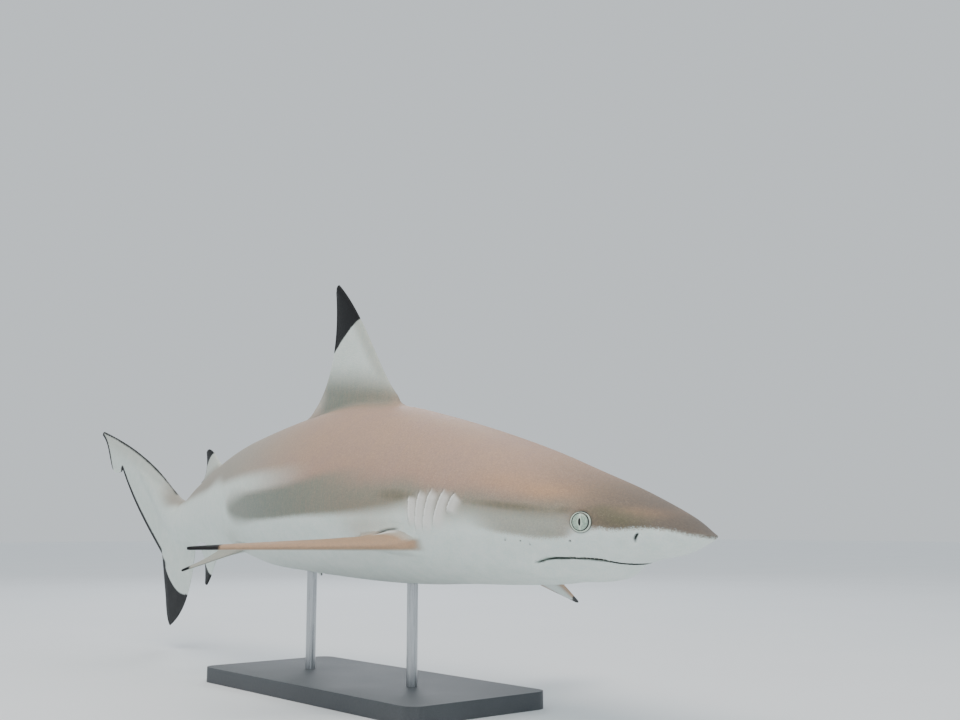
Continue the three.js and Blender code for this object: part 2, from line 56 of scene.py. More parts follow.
TOTAL_LENGTH = 1.4
HUNDREDTH = TOTAL_LENGTH / 100
SNOUT_ABOVE_BASE = 0.155
BASE_STATION = 35

BACK_LINE = [
    (0, 0), (0.8, 0.3), (2.5, 1.06), (5, 1.87), (7.5, 2.61), (10.5, 3.44), (15, 4.72), (20, 5.91),
    (25, 6.94), (30, 7.8), (36, 8.05), (42, 7.45), (48, 6.7), (55, 5.85), (62, 4.7), (68, 3.55),
    (74, 2.3), (79, 4.1), (86, 7.5), (92, 10.6),
]
BELLY_LINE = [
    (0, 0), (0.8, -0.6), (2.5, -1.48), (5, -2.22), (7.5, -3.22), (10.5, -4.27), (15, -4.96),
    (20, -5.44), (25, -5.95), (30, -6.2), (36, -6.2), (42, -6), (48, -5.6), (55, -4.35),
    (62, -3.5), (68, -2.7), (74, -2.2), (79, -0.5), (86, 5.5), (92, 10.2),
]
HALF_WIDTH = [
    (0, 0), (0.8, 1.12), (2.5, 2.4), (5, 3.7), (7.5, 4.7), (10.5, 5.15), (15, 5.7), (20, 6.1),
    (25, 6.2), (30, 6.1), (36, 5.85), (42, 5.35), (48, 4.65), (55, 3.7), (62, 2.75), (68, 2.05),
    (74, 1.5), (79, 1.05), (86, 0.45), (92, 0.1),
]
WIDEST_HEIGHT = [
    (0, 0), (2.5, -0.02), (7.5, 0), (15, 0.1), (25, 0), (42, 0.3), (62, 0.1), (74, 0), (79, 1.9),
    (86, 6.6), (92, 10.4),
]
BACK_ROUNDNESS = [(0, 2), (10.5, 2.15), (30, 1.95), (86, 2)]
BELLY_ROUNDNESS = [(0, 2), (5, 2.3), (20, 2.3), (48, 2.1), (86, 2)]

HEADING = [(0, 4.8), (15, 5.2), (30, 0.7), (45, -1.2), (60, -7.3), (75, -5.3), (100, 3.1)]
TILT = [(0, -6.9), (30, -2.4), (60, 3.4), (100, 8.2)]

# Line of the mouth, from under the snout to its corner.
MOUTH_LINE = [
    (5.65, -2.4), (6.4, -2.22), (7.45, -2.22), (8.5, -2.31), (9.95, -2.54), (10.65, -2.79),
]
MOUTH_FRONT, MOUTH_CORNER = MOUTH_LINE[0][0], MOUTH_LINE[-1][0]
MOUTH_OPENING, MOUTH_CORNER_OPENING = 0.1, 0.012
JAW_HALF_WIDTH, JAW_SPREAD = 4.6, 0.5
CHIN_LINE = [
    (5.75, -2.55), (5.9, -2.8), (6.15, -3.06), (6.6, -3.44), (7.2, -3.68), (8, -3.88),
    (9.5, -4.1), (10.5, -4.27), (12, -4.5), (14, -4.75),
]

EYE_STATION, EYE_HEIGHT = 7.03, 0.12
EYE_SINK = 0.3
EYEBALL = (0.79, 0.73, 0.5)
EYE_TALLNESS = 0.92

# Each slit runs through its top, middle and bottom.
NOSTRIL = [(3.57, -0.17), (3.8, -0.5), (3.86, -0.88)]
GILL_SLITS = [
    [(17.12, 1.27), (17.5, 0.59), (17.77, -0.26)],
    [(18.12, 1.51), (18.62, 0.17), (19.04, -1.51)],
    [(19.27, 1.51), (19.69, 0.01), (19.96, -1.89)],
    [(20.38, 1.32), (20.57, -0.17), (20.65, -1.85)],
    [(21.45, 0.83), (21.34, -0.28), (21.26, -1.49)],
]
# Fold of the skin over the rear of a pectoral fin's root, and how much lower the left one lies.
AXIL_FOLD = [(22.3, -1.6), (23.37, -1.7), (24.21, -1.87), (25.06, -2.07)]
LEFT_FOLD_DROP = 0.45
# Pores on the cheek: station, height and radius.
PORES = [(7.75, -1.15, 0.075), (11.54, -1.53, 0.06), (12.77, -1.61, 0.05), (10.82, -1.71, 0.045)]

TAIL_CORE_END = 92
RING_POINTS = 132


# ---------------------------------------------------------------- curves


def curve_through(pairs, position=lambda x: x):
    """Smooth curve through (position, value) pairs, with the slope of the neighbours at each."""
    xs = np.array([position(p[0]) for p in pairs], float)
    ys = np.array([p[1] for p in pairs], float)
    spans = np.diff(xs)
    secants = np.diff(ys) / spans
    slopes = np.empty_like(xs)
    slopes[0], slopes[-1] = secants[0], secants[-1]
    slopes[1:-1] = (secants[:-1] * spans[1:] + secants[1:] * spans[:-1]) / (spans[1:] + spans[:-1])

    def value(at):
        x = np.clip(position(np.asarray(at, float)), xs[0], xs[-1])
        i = np.clip(np.searchsorted(xs, x) - 1, 0, len(xs) - 2)
        t = (x - xs[i]) / spans[i]
        rise = ys[i + 1] - ys[i]
        a = slopes[i] * spans[i] - rise
        b = rise - slopes[i + 1] * spans[i]
        return ys[i] + t * rise + t * (1 - t) * (a * (1 - t) + b * t)

    return value


def safe_root(x):
    return np.sqrt(np.maximum(x, 0))


back_line = curve_through(BACK_LINE, safe_root)
belly_line = curve_through(BELLY_LINE, safe_root)
half_width = curve_through(HALF_WIDTH, safe_root)
widest_height = curve_through(WIDEST_HEIGHT, safe_root)
back_roundness = curve_through(BACK_ROUNDNESS)
belly_roundness = curve_through(BELLY_ROUNDNESS)
mouth_height = curve_through(MOUTH_LINE)
chin_line = curve_through(CHIN_LINE)
heading = curve_through(HEADING)
tilt = curve_through(TILT)


def smoothstep(low, high, x):
    """0 below low and 1 above high, eased between."""
    t = np.clip((x - low) / (high - low), 0, 1)
    return t * t * (3 - 2 * t)


def fade(low, high, x):
    """1 below low and 0 above high, eased between."""
    return 1 - smoothstep(low, high, x)


def bell(x, width):
    return np.exp(-((x / width) ** 2))


def mouth_share(station):
    return np.clip((station - MOUTH_FRONT) / (MOUTH_CORNER - MOUTH_FRONT), 0, 1)


# ---------------------------------------------------------------- body surface


def half_section(station, above):
    """Middle height, roundness and reach of the upper or lower half of the body's section."""
    middle = widest_height(station)
    roundness = np.where(above, back_roundness(station), belly_roundness(station))
    reach = np.where(above, back_line(station) - middle, middle - belly_line(station))
    return middle, roundness, reach


def body_surface(station, angle):
    """Points of the straight body; angle 0 is the back and 90 degrees the left flank."""
    station, angle = np.broadcast_arrays(np.asarray(station, float), np.asarray(angle, float))
    up, left = np.cos(angle), np.sin(angle)
    middle, roundness, reach = half_section(station, up >= 0)
    power = 2 / roundness
    side = half_width(station) * np.sign(left) * np.abs(left) ** power
    height = middle + reach * np.sign(up) * np.abs(up) ** power
    return np.stack([-station, side, height], -1)


def body_depth(points):
    """How far points lie outside the body's section (1 is on it), by their share of its radius."""
    station, height = -points[:, 0], points[:, 2]
    middle, n, reach = half_section(station, height >= widest_height(station))
    across = np.abs(points[:, 1]) / np.maximum(half_width(station), 1e-3)
    upward = np.abs(height - middle) / np.maximum(reach, 1e-3)
    return (across**n + upward**n) ** (1 / n)


def flank_point(station, height, side_sign):
    """Point of the body's side at a station and height."""
    above = height >= widest_height(station)
    middle, n, reach = (float(value) for value in half_section(station, above))
    share = min(1.0, abs(height - middle) / reach)
    side = float(half_width(station)) * (1 - share**n) ** (1 / n)
    return Vector((-station, side_sign * side, height))


def flank_normal(station, height, side_sign):
    step = 0.2
    ahead, behind = (flank_point(station + s, height, side_sign) for s in (-step, step))
    upper, lower = (flank_point(station, height + s, side_sign) for s in (step, -step))
    normal = (ahead - behind).cross(upper - lower).normalized()
    return -normal if normal.y * side_sign < 0 else normal


# ---------------------------------------------------------------- meshes


def add_object(name, data):
    obj = bpy.data.objects.new(name, data)
    bpy.context.scene.collection.objects.link(obj)
    return obj


def ring_sides(rows, count, first=0):
    """Four-sided faces between equal rings of points that are numbered on from the first."""
    ends = [(j, (j + 1) % count) for j in range(count)]
    starts = range(first, first + (rows - 1) * count, count)
    return [(a + j, a + k, a + count + k, a + count + j) for a in starts for j, k in ends]


def ring_mesh(name, rings):
    """Closed mesh through equal rings of points, its two ends closed by a point in their middle."""
    rings = np.asarray(rings, float)
    rows, count = rings.shape[:2]
    verts = np.concatenate([rings.reshape(-1, 3), rings[:1].mean(1), rings[-1:].mean(1)])
    faces = ring_sides(rows, count)
    first, last, end = rows * count, rows * count + 1, (rows - 1) * count
    for j in range(count):
        k = (j + 1) % count
        faces += [(k, j, first), (end + j, end + k, last)]
    mesh = bpy.data.meshes.new(name)
    mesh.from_pydata(verts.tolist(), [], faces)
    bm = bmesh.new()
    bm.from_mesh(mesh)
    bmesh.ops.recalc_face_normals(bm, faces=bm.faces)
    if bm.calc_volume(signed=True) < 0:
        bmesh.ops.reverse_faces(bm, faces=bm.faces)
    bmesh.ops.triangulate(bm, faces=bm.faces)
    bm.to_mesh(mesh)
    bm.free()
    return add_object(name, mesh)


def combine(target, tool, operation):
    """Joins the tool to the target or cuts it away, and removes the tool."""
    modifier = target.modifiers.new("combine", "BOOLEAN")
    modifier.operation = operation
    modifier.solver = "MANIFOLD"
    modifier.object = tool
    graph = bpy.context.evaluated_depsgraph_get()
    mesh = bpy.data.meshes.new_from_object(target.evaluated_get(graph))
    target.modifiers.clear()
    old = target.data
    target.data = mesh
    bpy.data.meshes.remove(old)
    bpy.data.objects.remove(tool)


def coordinates(mesh):
    points = np.empty(len(mesh.vertices) * 3)
    mesh.vertices.foreach_get("co", points)
    return points.reshape(-1, 3)


def edge_pairs(mesh):
    pairs = np.empty(len(mesh.edges) * 2, np.int64)
    mesh.edges.foreach_get("vertices", pairs)
    return pairs.reshape(-1, 2)


def relax(points, pairs, weight, rounds):
    """Evens points out among their neighbours, by each point's weight."""
    count = len(points)
    degree = np.maximum(np.bincount(pairs.ravel(), minlength=count), 1).astype(float)[:, None]
    a, b = pairs.T
    for _ in range(rounds):
        around = [np.bincount(a, p[b], count) + np.bincount(b, p[a], count) for p in points.T]
        points = points + weight[:, None] * (np.stack(around, 1) / degree - points) / 2
    return points


def clean(mesh, merge=0.0):
    """Triangles only, with edges shorter than the merging distance closed up."""
    bm = bmesh.new()
    bm.from_mesh(mesh)
    bmesh.ops.triangulate(bm, faces=bm.faces)
    if merge:
        bmesh.ops.remove_doubles(bm, verts=bm.verts, dist=merge)
        bmesh.ops.dissolve_degenerate(bm, edges=bm.edges, dist=merge / 3)
        bmesh.ops.triangulate(bm, faces=bm.faces)
    bmesh.ops.recalc_face_normals(bm, faces=bm.faces)
    bm.to_mesh(mesh)
    bm.free()


def turned(rows, shifts):
    """Each row of three turned so that it starts at its shift."""
    order = (np.arange(3)[None] + shifts[:, None]) % 3
    return rows[np.arange(len(rows))[:, None], order]


def split_faces(points, faces, middles):
    """Triangles split at the middles of their sides; a side that stays whole has -1."""
    cut = middles >= 0
    count = cut.sum(1)
    pieces = [faces[count == 0]]

    one = count == 1
    shift = cut[one].argmax(1)
    (a, b, c), (m, _, _) = turned(faces[one], shift).T, turned(middles[one], shift).T
    pieces += [np.stack([a, m, c], 1), np.stack([m, b, c], 1)]

    two = count == 2
    shift = (cut[two].argmin(1) + 1) % 3
    (a, b, c), (m, n, _) = turned(faces[two], shift).T, turned(middles[two], shift).T
    pieces.append(np.stack([m, b, n], 1))
    first = np.linalg.norm(points[a] - points[n], axis=1)
    second = np.linalg.norm(points[m] - points[c], axis=1)
    short = (first < second)[:, None]
    pieces.append(np.where(short, np.stack([a, m, n], 1), np.stack([a, m, c], 1)))
    pieces.append(np.where(short, np.stack([a, n, c], 1), np.stack([m, n, c], 1)))

    (a, b, c), (m, n, o) = faces[count == 3].T, middles[count == 3].T
    corners = [(a, m, o), (m, b, n), (o, n, c), (m, n, o)]
    pieces += [np.stack(corner, 1) for corner in corners]
    return np.concatenate(pieces)


def refine(mesh, zones, rounds=4):
    """Splits edges inside each (middle, radii, length) zone until they are near its length."""
    points = coordinates(mesh)
    faces = np.empty(len(mesh.polygons) * 3, np.int64)
    mesh.polygons.foreach_get("vertices", faces)
    faces = faces.reshape(-1, 3)
    for _ in range(rounds):
        sides = np.concatenate([faces[:, [0, 1]], faces[:, [1, 2]], faces[:, [2, 0]]])
        pairs, back = np.unique(np.sort(sides, 1), axis=0, return_inverse=True)
        ends = points[pairs]
        middles = ends.mean(1)
        lengths = np.linalg.norm(ends[:, 0] - ends[:, 1], axis=1)
        allowed = np.full(len(lengths), np.inf)
        for middle, radii, length in zones:
            inside = (((middles - np.array(middle)) / radii) ** 2).sum(1) < 1
            allowed[inside] = np.minimum(allowed[inside], length)
        long = lengths > 1.4 * allowed
        if not long.any():
            break
        index = np.full(len(pairs), -1)
        index[long] = len(points) + np.arange(long.sum())
        points = np.concatenate([points, middles[long]])
        faces = split_faces(points, faces, index[back.ravel()].reshape(3, -1).T)
    mesh.clear_geometry()
    mesh.from_pydata(points.tolist(), [], faces.tolist())


# ---------------------------------------------------------------- body and jaw


def body_stations():
    tip = (np.arange(1, 12) * 0.075) ** 2
    head = np.arange(0.9, 25, 0.2)
    trunk = np.arange(25, 74, 0.42)
    tail = np.arange(74, TAIL_CORE_END + 0.01, 0.3)
    return np.concatenate([tip, head, trunk, tail])


def make_body():
    angles = np.linspace(0, 2 * math.pi, RING_POINTS, endpoint=False)
    stations = body_stations()
    return ring_mesh("skin", body_surface(stations[:, None], angles[None]))


def make_jaw():
    stations = np.concatenate([np.linspace(CHIN_LINE[0][0], 6.7, 14), np.linspace(6.85, 14, 42)])
    angles = np.linspace(0, math.pi, 56)
    width = (JAW_HALF_WIDTH * mouth_share(stations) ** JAW_SPREAD)[:, None]
    top = mouth_height(stations)[:, None]
    drop = top - chin_line(stations)[:, None]
    side = width * np.cos(angles)
    height = top - drop * np.sin(angles) ** 0.9
    depth = np.broadcast_to(-stations[:, None], side.shape)
    return ring_mesh("jaw", np.stack([depth, side, height], -1))


# ---------------------------------------------------------------- fins


def bezier(points, count):
    """Points along a cubic curve between [a, b] pairs."""
    p = np.array(points, float)
    t = np.linspace(0, 1, count)[:, None]
    return (1 - t) ** 3 * p[0] + 3 * (1 - t) ** 2 * t * p[1] + 3 * (1 - t) * t**2 * p[2] + t**3 * p[3]


def joined(*curves):
    return np.concatenate([curves[0], *[c[1:] for c in curves[1:]]])


FIN_EDGE = 0.0011 / HUNDREDTH
FIN_NOSE = 0.0008 / HUNDREDTH
ROOT_FLARE, ROOT_FLARE_HEIGHT = 0.34, 0.75


def fin_mesh(name, leading, trailing, root_thickness, tip_thickness, place, above_root, chord_points):
    """Rows from root to tip, each a streamlined section that widens where it meets the body."""
    u = (1 - np.cos(np.linspace(0, math.pi, chord_points))) / 2
    rings = []
    for row, (front, back) in enumerate(zip(leading, trailing)):
        chord = np.linalg.norm(back - front)
        share = row / (len(leading) - 1)
        thickness = min(root_thickness + (tip_thickness - root_thickness) * share, chord / 2)
        at = front + (back - front) * u[:, None]
        least = np.where(u < 1e-6, FIN_NOSE, FIN_EDGE)
        half = np.maximum(thickness * 2.6 * np.sqrt(u) * (1 - u), least) / 2
        away = np.clip(above_root(at), 0, None)
        half = half + ROOT_FLARE * np.exp(-((away / ROOT_FLARE_HEIGHT) ** 1.3)) * (1 - u) ** 0.7
        upper = place(at[:, 0], at[:, 1], half)
        lower = place(at[:, 0], at[:, 1], -half)[::-1]
        rings.append(np.concatenate([upper, lower]))
    return ring_mesh(name, rings)


def upright(station, height, off):
    return np.stack([-station, off, height], -1)


def above_back(at):
    return at[:, 1] - back_line(at[:, 0])


def below_belly(at):
    return belly_line(at[:, 0]) - at[:, 1]


def far_off(at):
    """For a fin that doesn't widen at its foot."""
    return np.full(len(at), 9.0)


D1_EDGE = [(28.6, 7.4), (32.2, 7.9), (34.75, 15), (39.6, 19)]
D1_INNER = [(40.8, 6.9), (42, 7.0), (43.6, 7.1), (44.9, 7.32)]
D1_HOLLOW = [(44.9, 7.32), (42.5, 7.75), (38.95, 11.1), (40, 18.4)]
D2_EDGE = [(61.8, 4.1), (64, 4.6), (65, 6.6), (67, 7.05)]
D2_INNER = [(66.8, 3.0), (67.6, 3.15), (68.6, 3.45), (69.4, 3.75)]
D2_HOLLOW = [(69.4, 3.75), (68, 4.1), (67.3, 5), (67.8, 6.85)]
ANAL_EDGE = [(61.8, -3.2), (64.8, -3.4), (65.2, -5.9), (67.6, -7.1)]
ANAL_INNER = [(66.6, -2.5), (67.6, -2.7), (68.5, -3.1), (69.2, -3.5)]
ANAL_HOLLOW = [(69.2, -3.5), (68.4, -3.9), (67.7, -5.2), (68.1, -6.9)]
TAIL_FORK = (79.4, -4.35)
TAIL_UPPER = [(74.2, 1.9), (79.8, 5.75), (88, 10.2), (97.8, 14.4)]
TAIL_LOBE_FRONT = [(70.6, -1.9), (71.9, -4.9), (72.4, -9.2), (78.9, -10.95)]
TAIL_LOBE_BACK = [(78.9, -10.95), (80.2, -10.3), (80.7, -6.4), TAIL_FORK]
TAIL_HOLLOW = [TAIL_FORK, (82.6, -1.75), (88.9, 2.4), (92.8, 8.7)]
TAIL_END_FOOT = [(93.1, 8.45), (94, 8.35), (95.2, 8.6), (95.95, 9.15)]
TAIL_END_BACK = [(95.95, 9.15), (96.5, 10.4), (96.3, 12.4), (98.3, 14.1)]


def midline_fin(name, edges, counts, thicknesses, above_root, chord_points):
    lead, inner, hollow = (bezier(edge, count) for edge, count in zip(edges, counts))
    return fin_mesh(name, lead, joined(inner, hollow), *thicknesses, upright, above_root, chord_points)


def make_tail_fin():
    lobes = joined(bezier(TAIL_LOBE_FRONT, 32), bezier(TAIL_LOBE_BACK, 28), bezier(TAIL_HOLLOW, 52))
    end = joined(bezier(TAIL_END_FOOT, 9), bezier(TAIL_END_BACK, 14))
    below = np.concatenate([lobes, end])
    return fin_mesh("tail", bezier(TAIL_UPPER, len(below)), below, 1.3, 0.25, upright, far_off, 34)


def make_upright_fins():
    first, second = (D1_EDGE, D1_INNER, D1_HOLLOW), (D2_EDGE, D2_INNER, D2_HOLLOW)
    anal, small = (ANAL_EDGE, ANAL_INNER, ANAL_HOLLOW), (30, 10, 21)
    return [
        midline_fin("first_dorsal", first, (73, 14, 60), (1.0, 0.3), above_back, 26),
        midline_fin("second_dorsal", second, small, (0.6, 0.22), above_back, 18),
        midline_fin("anal", anal, small, (0.6, 0.22), below_belly, 18),
        make_tail_fin(),
    ]


# Planforms. The upper side's tan and darkness are warmth and top_tone, and the tip turns black past
# black_from, a share of the span.
PECTORAL = dict(
    chord=6.2, bury=2, rear_lobe=(3.2, 3.2), bow=0.4, rear_fill=0.6, tip_chord=0.35, thickness=1.15,
    rows=76, inner_rows=16, chord_points=24, skin_at=1.1, warmth=0.75, top_tone=0.95, black_from=0.86,
)
PELVIC = dict(
    chord=4, bury=1.5, rear_lobe=(2.6, 1.2), bow=0.25, rear_fill=0.33, tip_chord=0.3, thickness=0.6,
    rows=34, inner_rows=10, chord_points=18, skin_at=0.6, warmth=0.5, top_tone=0.8, black_from=0.88,
)
# By name: planform, side, root (station, side, height), droop and sweep in degrees, span.
PAIRED_FINS = {
    "pectoral_left": (PECTORAL, 1, (19.8, 4.6, -3.0), 21, 28.5, 17),
    "pectoral_right": (PECTORAL, -1, (19.8, 4.6, -2.62), 4.2, 47, 17.9),
    "pelvic_left": (PELVIC, 1, (48.4, 2.4, -3.6), 34, 45, 7.6),
    "pelvic_right": (PELVIC, -1, (48.4, 2.4, -3.6), 24, 42, 7.6),
}


def make_paired_fin(name):
    form, side_sign, root, droop, sweep, span = PAIRED_FINS[name]
    lean, turn = math.radians(droop), math.radians(sweep)
    chord, bow = form["chord"], form["bow"]
    lobe = np.array(form["rear_lobe"])
    tip = span * np.array([math.sin(turn), math.cos(turn)])
    tip_back = tip + np.array([form["tip_chord"], -form["tip_chord"] / 2])
    rear = np.array([chord, 0]) + lobe
    leading = bezier(
        [(0, 0), tip * 0.33 + (-bow, bow * 0.7), tip * 0.72 + (-bow, bow), tip], form["rows"]
    )
    inner = bezier(
        [(chord, 0), (chord + lobe[0] * 0.3, lobe[1] * 0.25), (chord + lobe[0] * 0.7, lobe[1] * 0.7),
         rear], form["inner_rows"],
    )
    hollow = bezier(
        [rear, rear + lobe * (-0.35, 0.2), tip_back * 0.66 + (chord * form["rear_fill"], 0), tip_back],
        form["rows"] - form["inner_rows"] + 1,
    )
    bury = form["bury"]
    buried = np.linspace((bury * 0.2, -bury), (0, 0), 6)[:-1]
    buried_back = np.linspace((chord - bury * 0.1, -bury), (chord, 0), 6)[:-1]

    def place(back, out, off):
        return np.stack(
            [
                -(root[0] + back),
                side_sign * (root[1] + out * math.cos(lean) + off * math.sin(lean)),
                root[2] - out * math.sin(lean) + off * math.cos(lean),
            ],
            -1,
        )

    return fin_mesh(
        name, np.concatenate([buried, leading]), np.concatenate([buried_back, joined(inner, hollow)]),
        form["thickness"], 0.25, place, lambda at: at[:, 1] - form["skin_at"], form["chord_points"],
    )


# ---------------------------------------------------------------- one skin


def mouth_gap(share):
    """Height of the slit, from its front (share 0) to its corner (share 1)."""
    return MOUTH_OPENING + (MOUTH_CORNER_OPENING - MOUTH_OPENING) * share


def make_mouth_cut():
    """Thin wedge of space between the jaws, widest at the front and closed at the corners."""
    reach = 6.5
    rings = []
    for station in np.linspace(4.6, MOUTH_CORNER, 57):
        middle = float(mouth_height(station))
        half = mouth_gap(mouth_share(station)) / 2
        corners = [(reach, half), (-reach, half), (-reach, -half), (reach, -half)]
        rings.append([(-station, side, middle + up) for side, up in corners])
    return ring_mesh("mouth_cut", rings)


def nearest_distances(points, targets):
    tree = KDTree(len(targets))
    for i, target in enumerate(targets):
        tree.insert(target, i)
    tree.balance()
    return np.array([tree.find(point)[2] for point in points])


def round_seams(mesh):
    """Rounds the inner corners where the fins and the jaw leave the body."""
    points, pairs = coordinates(mesh), edge_pairs(mesh)
    station = -points[:, 0]
    off_body = body_depth(points) > 1.003
    crossing = off_body[pairs[:, 0]] != off_body[pairs[:, 1]]
    seam = np.unique(pairs[crossing])
    reach = np.where(station > 73, 1.6, np.where(station < 15, 1.3, 0.85))
    weight = fade(0.15, 1, nearest_distances(points, points[seam]) / reach)
    set_points(mesh, relax(points, pairs, weight, 26))


def make_skin():
    skin = make_body()
    fins = [*make_upright_fins(), *[make_paired_fin(name) for name in PAIRED_FINS]]
    for part in [make_jaw(), *fins]:
        combine(skin, part, "UNION")
    clean(skin.data)
    round_seams(skin.data)
    combine(skin, make_mouth_cut(), "DIFFERENCE")
    clean(skin.data, 0.008)
    return skin


# ---------------------------------------------------------------- eyes, nostrils, gills and mouth


def flank_frame(station, height, side_sign):
    """A point on the flank with its forward, upward and outward directions."""
    normal = flank_normal(station, height, side_sign)
    forward = Vector((1, 0, 0))
    forward = (forward - normal * forward.dot(normal)).normalized()
    upward = normal.cross(forward)
    if upward.z < 0:
        upward = -upward
    return [np.array(v) for v in (flank_point(station, height, side_sign), forward, upward, normal)]


def flank_path(route, side_sign):
    """Points on the flank along (station, height) pairs, with the way across them to the head."""
    frames = [flank_frame(station, height, side_sign) for station, height in route]
    points = np.array([f[0] for f in frames])
    normals = np.array([f[3] for f in frames])
    tangents = np.gradient(points, axis=0)
    tangents /= np.linalg.norm(tangents, axis=1)[:, None]
    across = np.cross(normals, tangents)
    across *= np.sign(across[:, :1])
    return points, tangents, across


def path_place(points, path):
    """Signed distance ahead of a path on the flank, and the share of its length run there."""
    places, tangents, across = path
    spans = points[:, None] - places[None]
    nearest = (spans**2).sum(-1).argmin(1)
    delta = points - places[nearest]
    spacing = np.linalg.norm(places[1] - places[0])
    run = (delta * tangents[nearest]).sum(1) / spacing
    return (delta * across[nearest]).sum(1), (nearest + run) / (len(places) - 1)


def slit_route(slit):
    """Evenly spaced (station, height) pairs along a slit through its top, middle and bottom."""
    top, middle, bottom = (np.array(point) for point in slit)
    share = np.linspace(0, 1, 121)[:, None]
    fine = top * (1 - share) * (1 - 2 * share) + middle * 4 * share * (1 - share)
    fine = fine + bottom * share * (2 * share - 1)
    run = np.concatenate([[0], np.cumsum(np.linalg.norm(np.diff(fine, axis=0), axis=1))])
    even = np.linspace(0, run[-1], 41)
    return list(zip(np.interp(even, run, fine[:, 0]), np.interp(even, run, fine[:, 1])))


def axil_fold(side):
    """Evenly spaced (station, height) pairs along the fold over a pectoral fin's root."""
    stations = np.linspace(AXIL_FOLD[0][0], AXIL_FOLD[-1][0], 31)
    drop = LEFT_FOLD_DROP if side > 0 else 0
    return list(zip(stations, curve_through(AXIL_FOLD)(stations) - drop))


GILLS_MIDDLE = (19.4, -0.2)
FIRST_DORSAL_REAR_FOOT = (-43.2, 0, 7.1)


def detail_zones():
    """Middle, reach and edge length of each place where the skin's mesh is made finer."""
    zones = []
    for side in (1, -1):
        zones.append((flank_point(EYE_STATION, EYE_HEIGHT, side), 0.95, 0.04))
        zones.append((flank_point(*NOSTRIL[1], side), 0.6, 0.035))
        for station, height, radius in PORES:
            zones.append((flank_point(station, height, side), 3 * radius, 0.04))
        zones.append((flank_point(*GILLS_MIDDLE, side), (3.1, 1.6, 2.6), 0.075))
        for station, height in axil_fold(side)[::3]:
            zones.append((flank_point(station, height, side), 0.55, 0.08))
        for station in np.linspace(MOUTH_FRONT, MOUTH_CORNER + 0.15, 30):
            zones.append((flank_point(station, float(mouth_height(station)), side), 0.4, 0.085))
    zones.append((FIRST_DORSAL_REAR_FOOT, (2.2, 0.7, 0.5), 0.09))
    zones.append(((-MOUTH_FRONT - 0.2, 0, MOUTH_LINE[0][1]), (0.6, 2.2, 0.5), 0.085))
    return zones


def detail_weight(points):
    """1 around the eyes, nostrils and gills, where the refined mesh is evened out."""
    weight = np.zeros(len(points))
    for side in (1, -1):
        spots = [(flank_point(EYE_STATION, EYE_HEIGHT, side), 1.1)]
        spots.append((flank_point(*NOSTRIL[1], side), 0.75))
        spots.append((flank_point(*GILLS_MIDDLE, side), (3.3, 1.8, 2.8)))
        for middle, radii in spots:
            share = np.sqrt((((points - np.array(middle)) / radii) ** 2).sum(1))
            weight = np.maximum(weight, fade(0.8, 1, share))
    return weight


def eye_place(points, side_sign):
    """Forward, upward and outward distances from the middle of an eye's opening."""
    middle, forward, upward, normal = flank_frame(EYE_STATION, EYE_HEIGHT, side_sign)
    delta = points - middle
    return delta @ forward, delta @ upward, delta @ normal


def eye_radius(points):
    """Distance from the nearer eye's middle, stretched so that its oval opening is a circle."""
    radii = []
    for side in (1, -1):
        along, up, out = eye_place(points, side)
        radii.append(np.sqrt(along**2 + (up / EYE_TALLNESS) ** 2 + np.where(np.abs(out) > 1, 9, 0)))
    return np.minimum(*radii)


def near_flank(points, side, front, rear):
    """Indices of the points on one side between two stations."""
    station = -points[:, 0]
    inside = (points[:, 1] * side > 0) & (station > front) & (station < rear)
    return np.flatnonzero(inside & (np.abs(points[:, 2]) < 4.5))


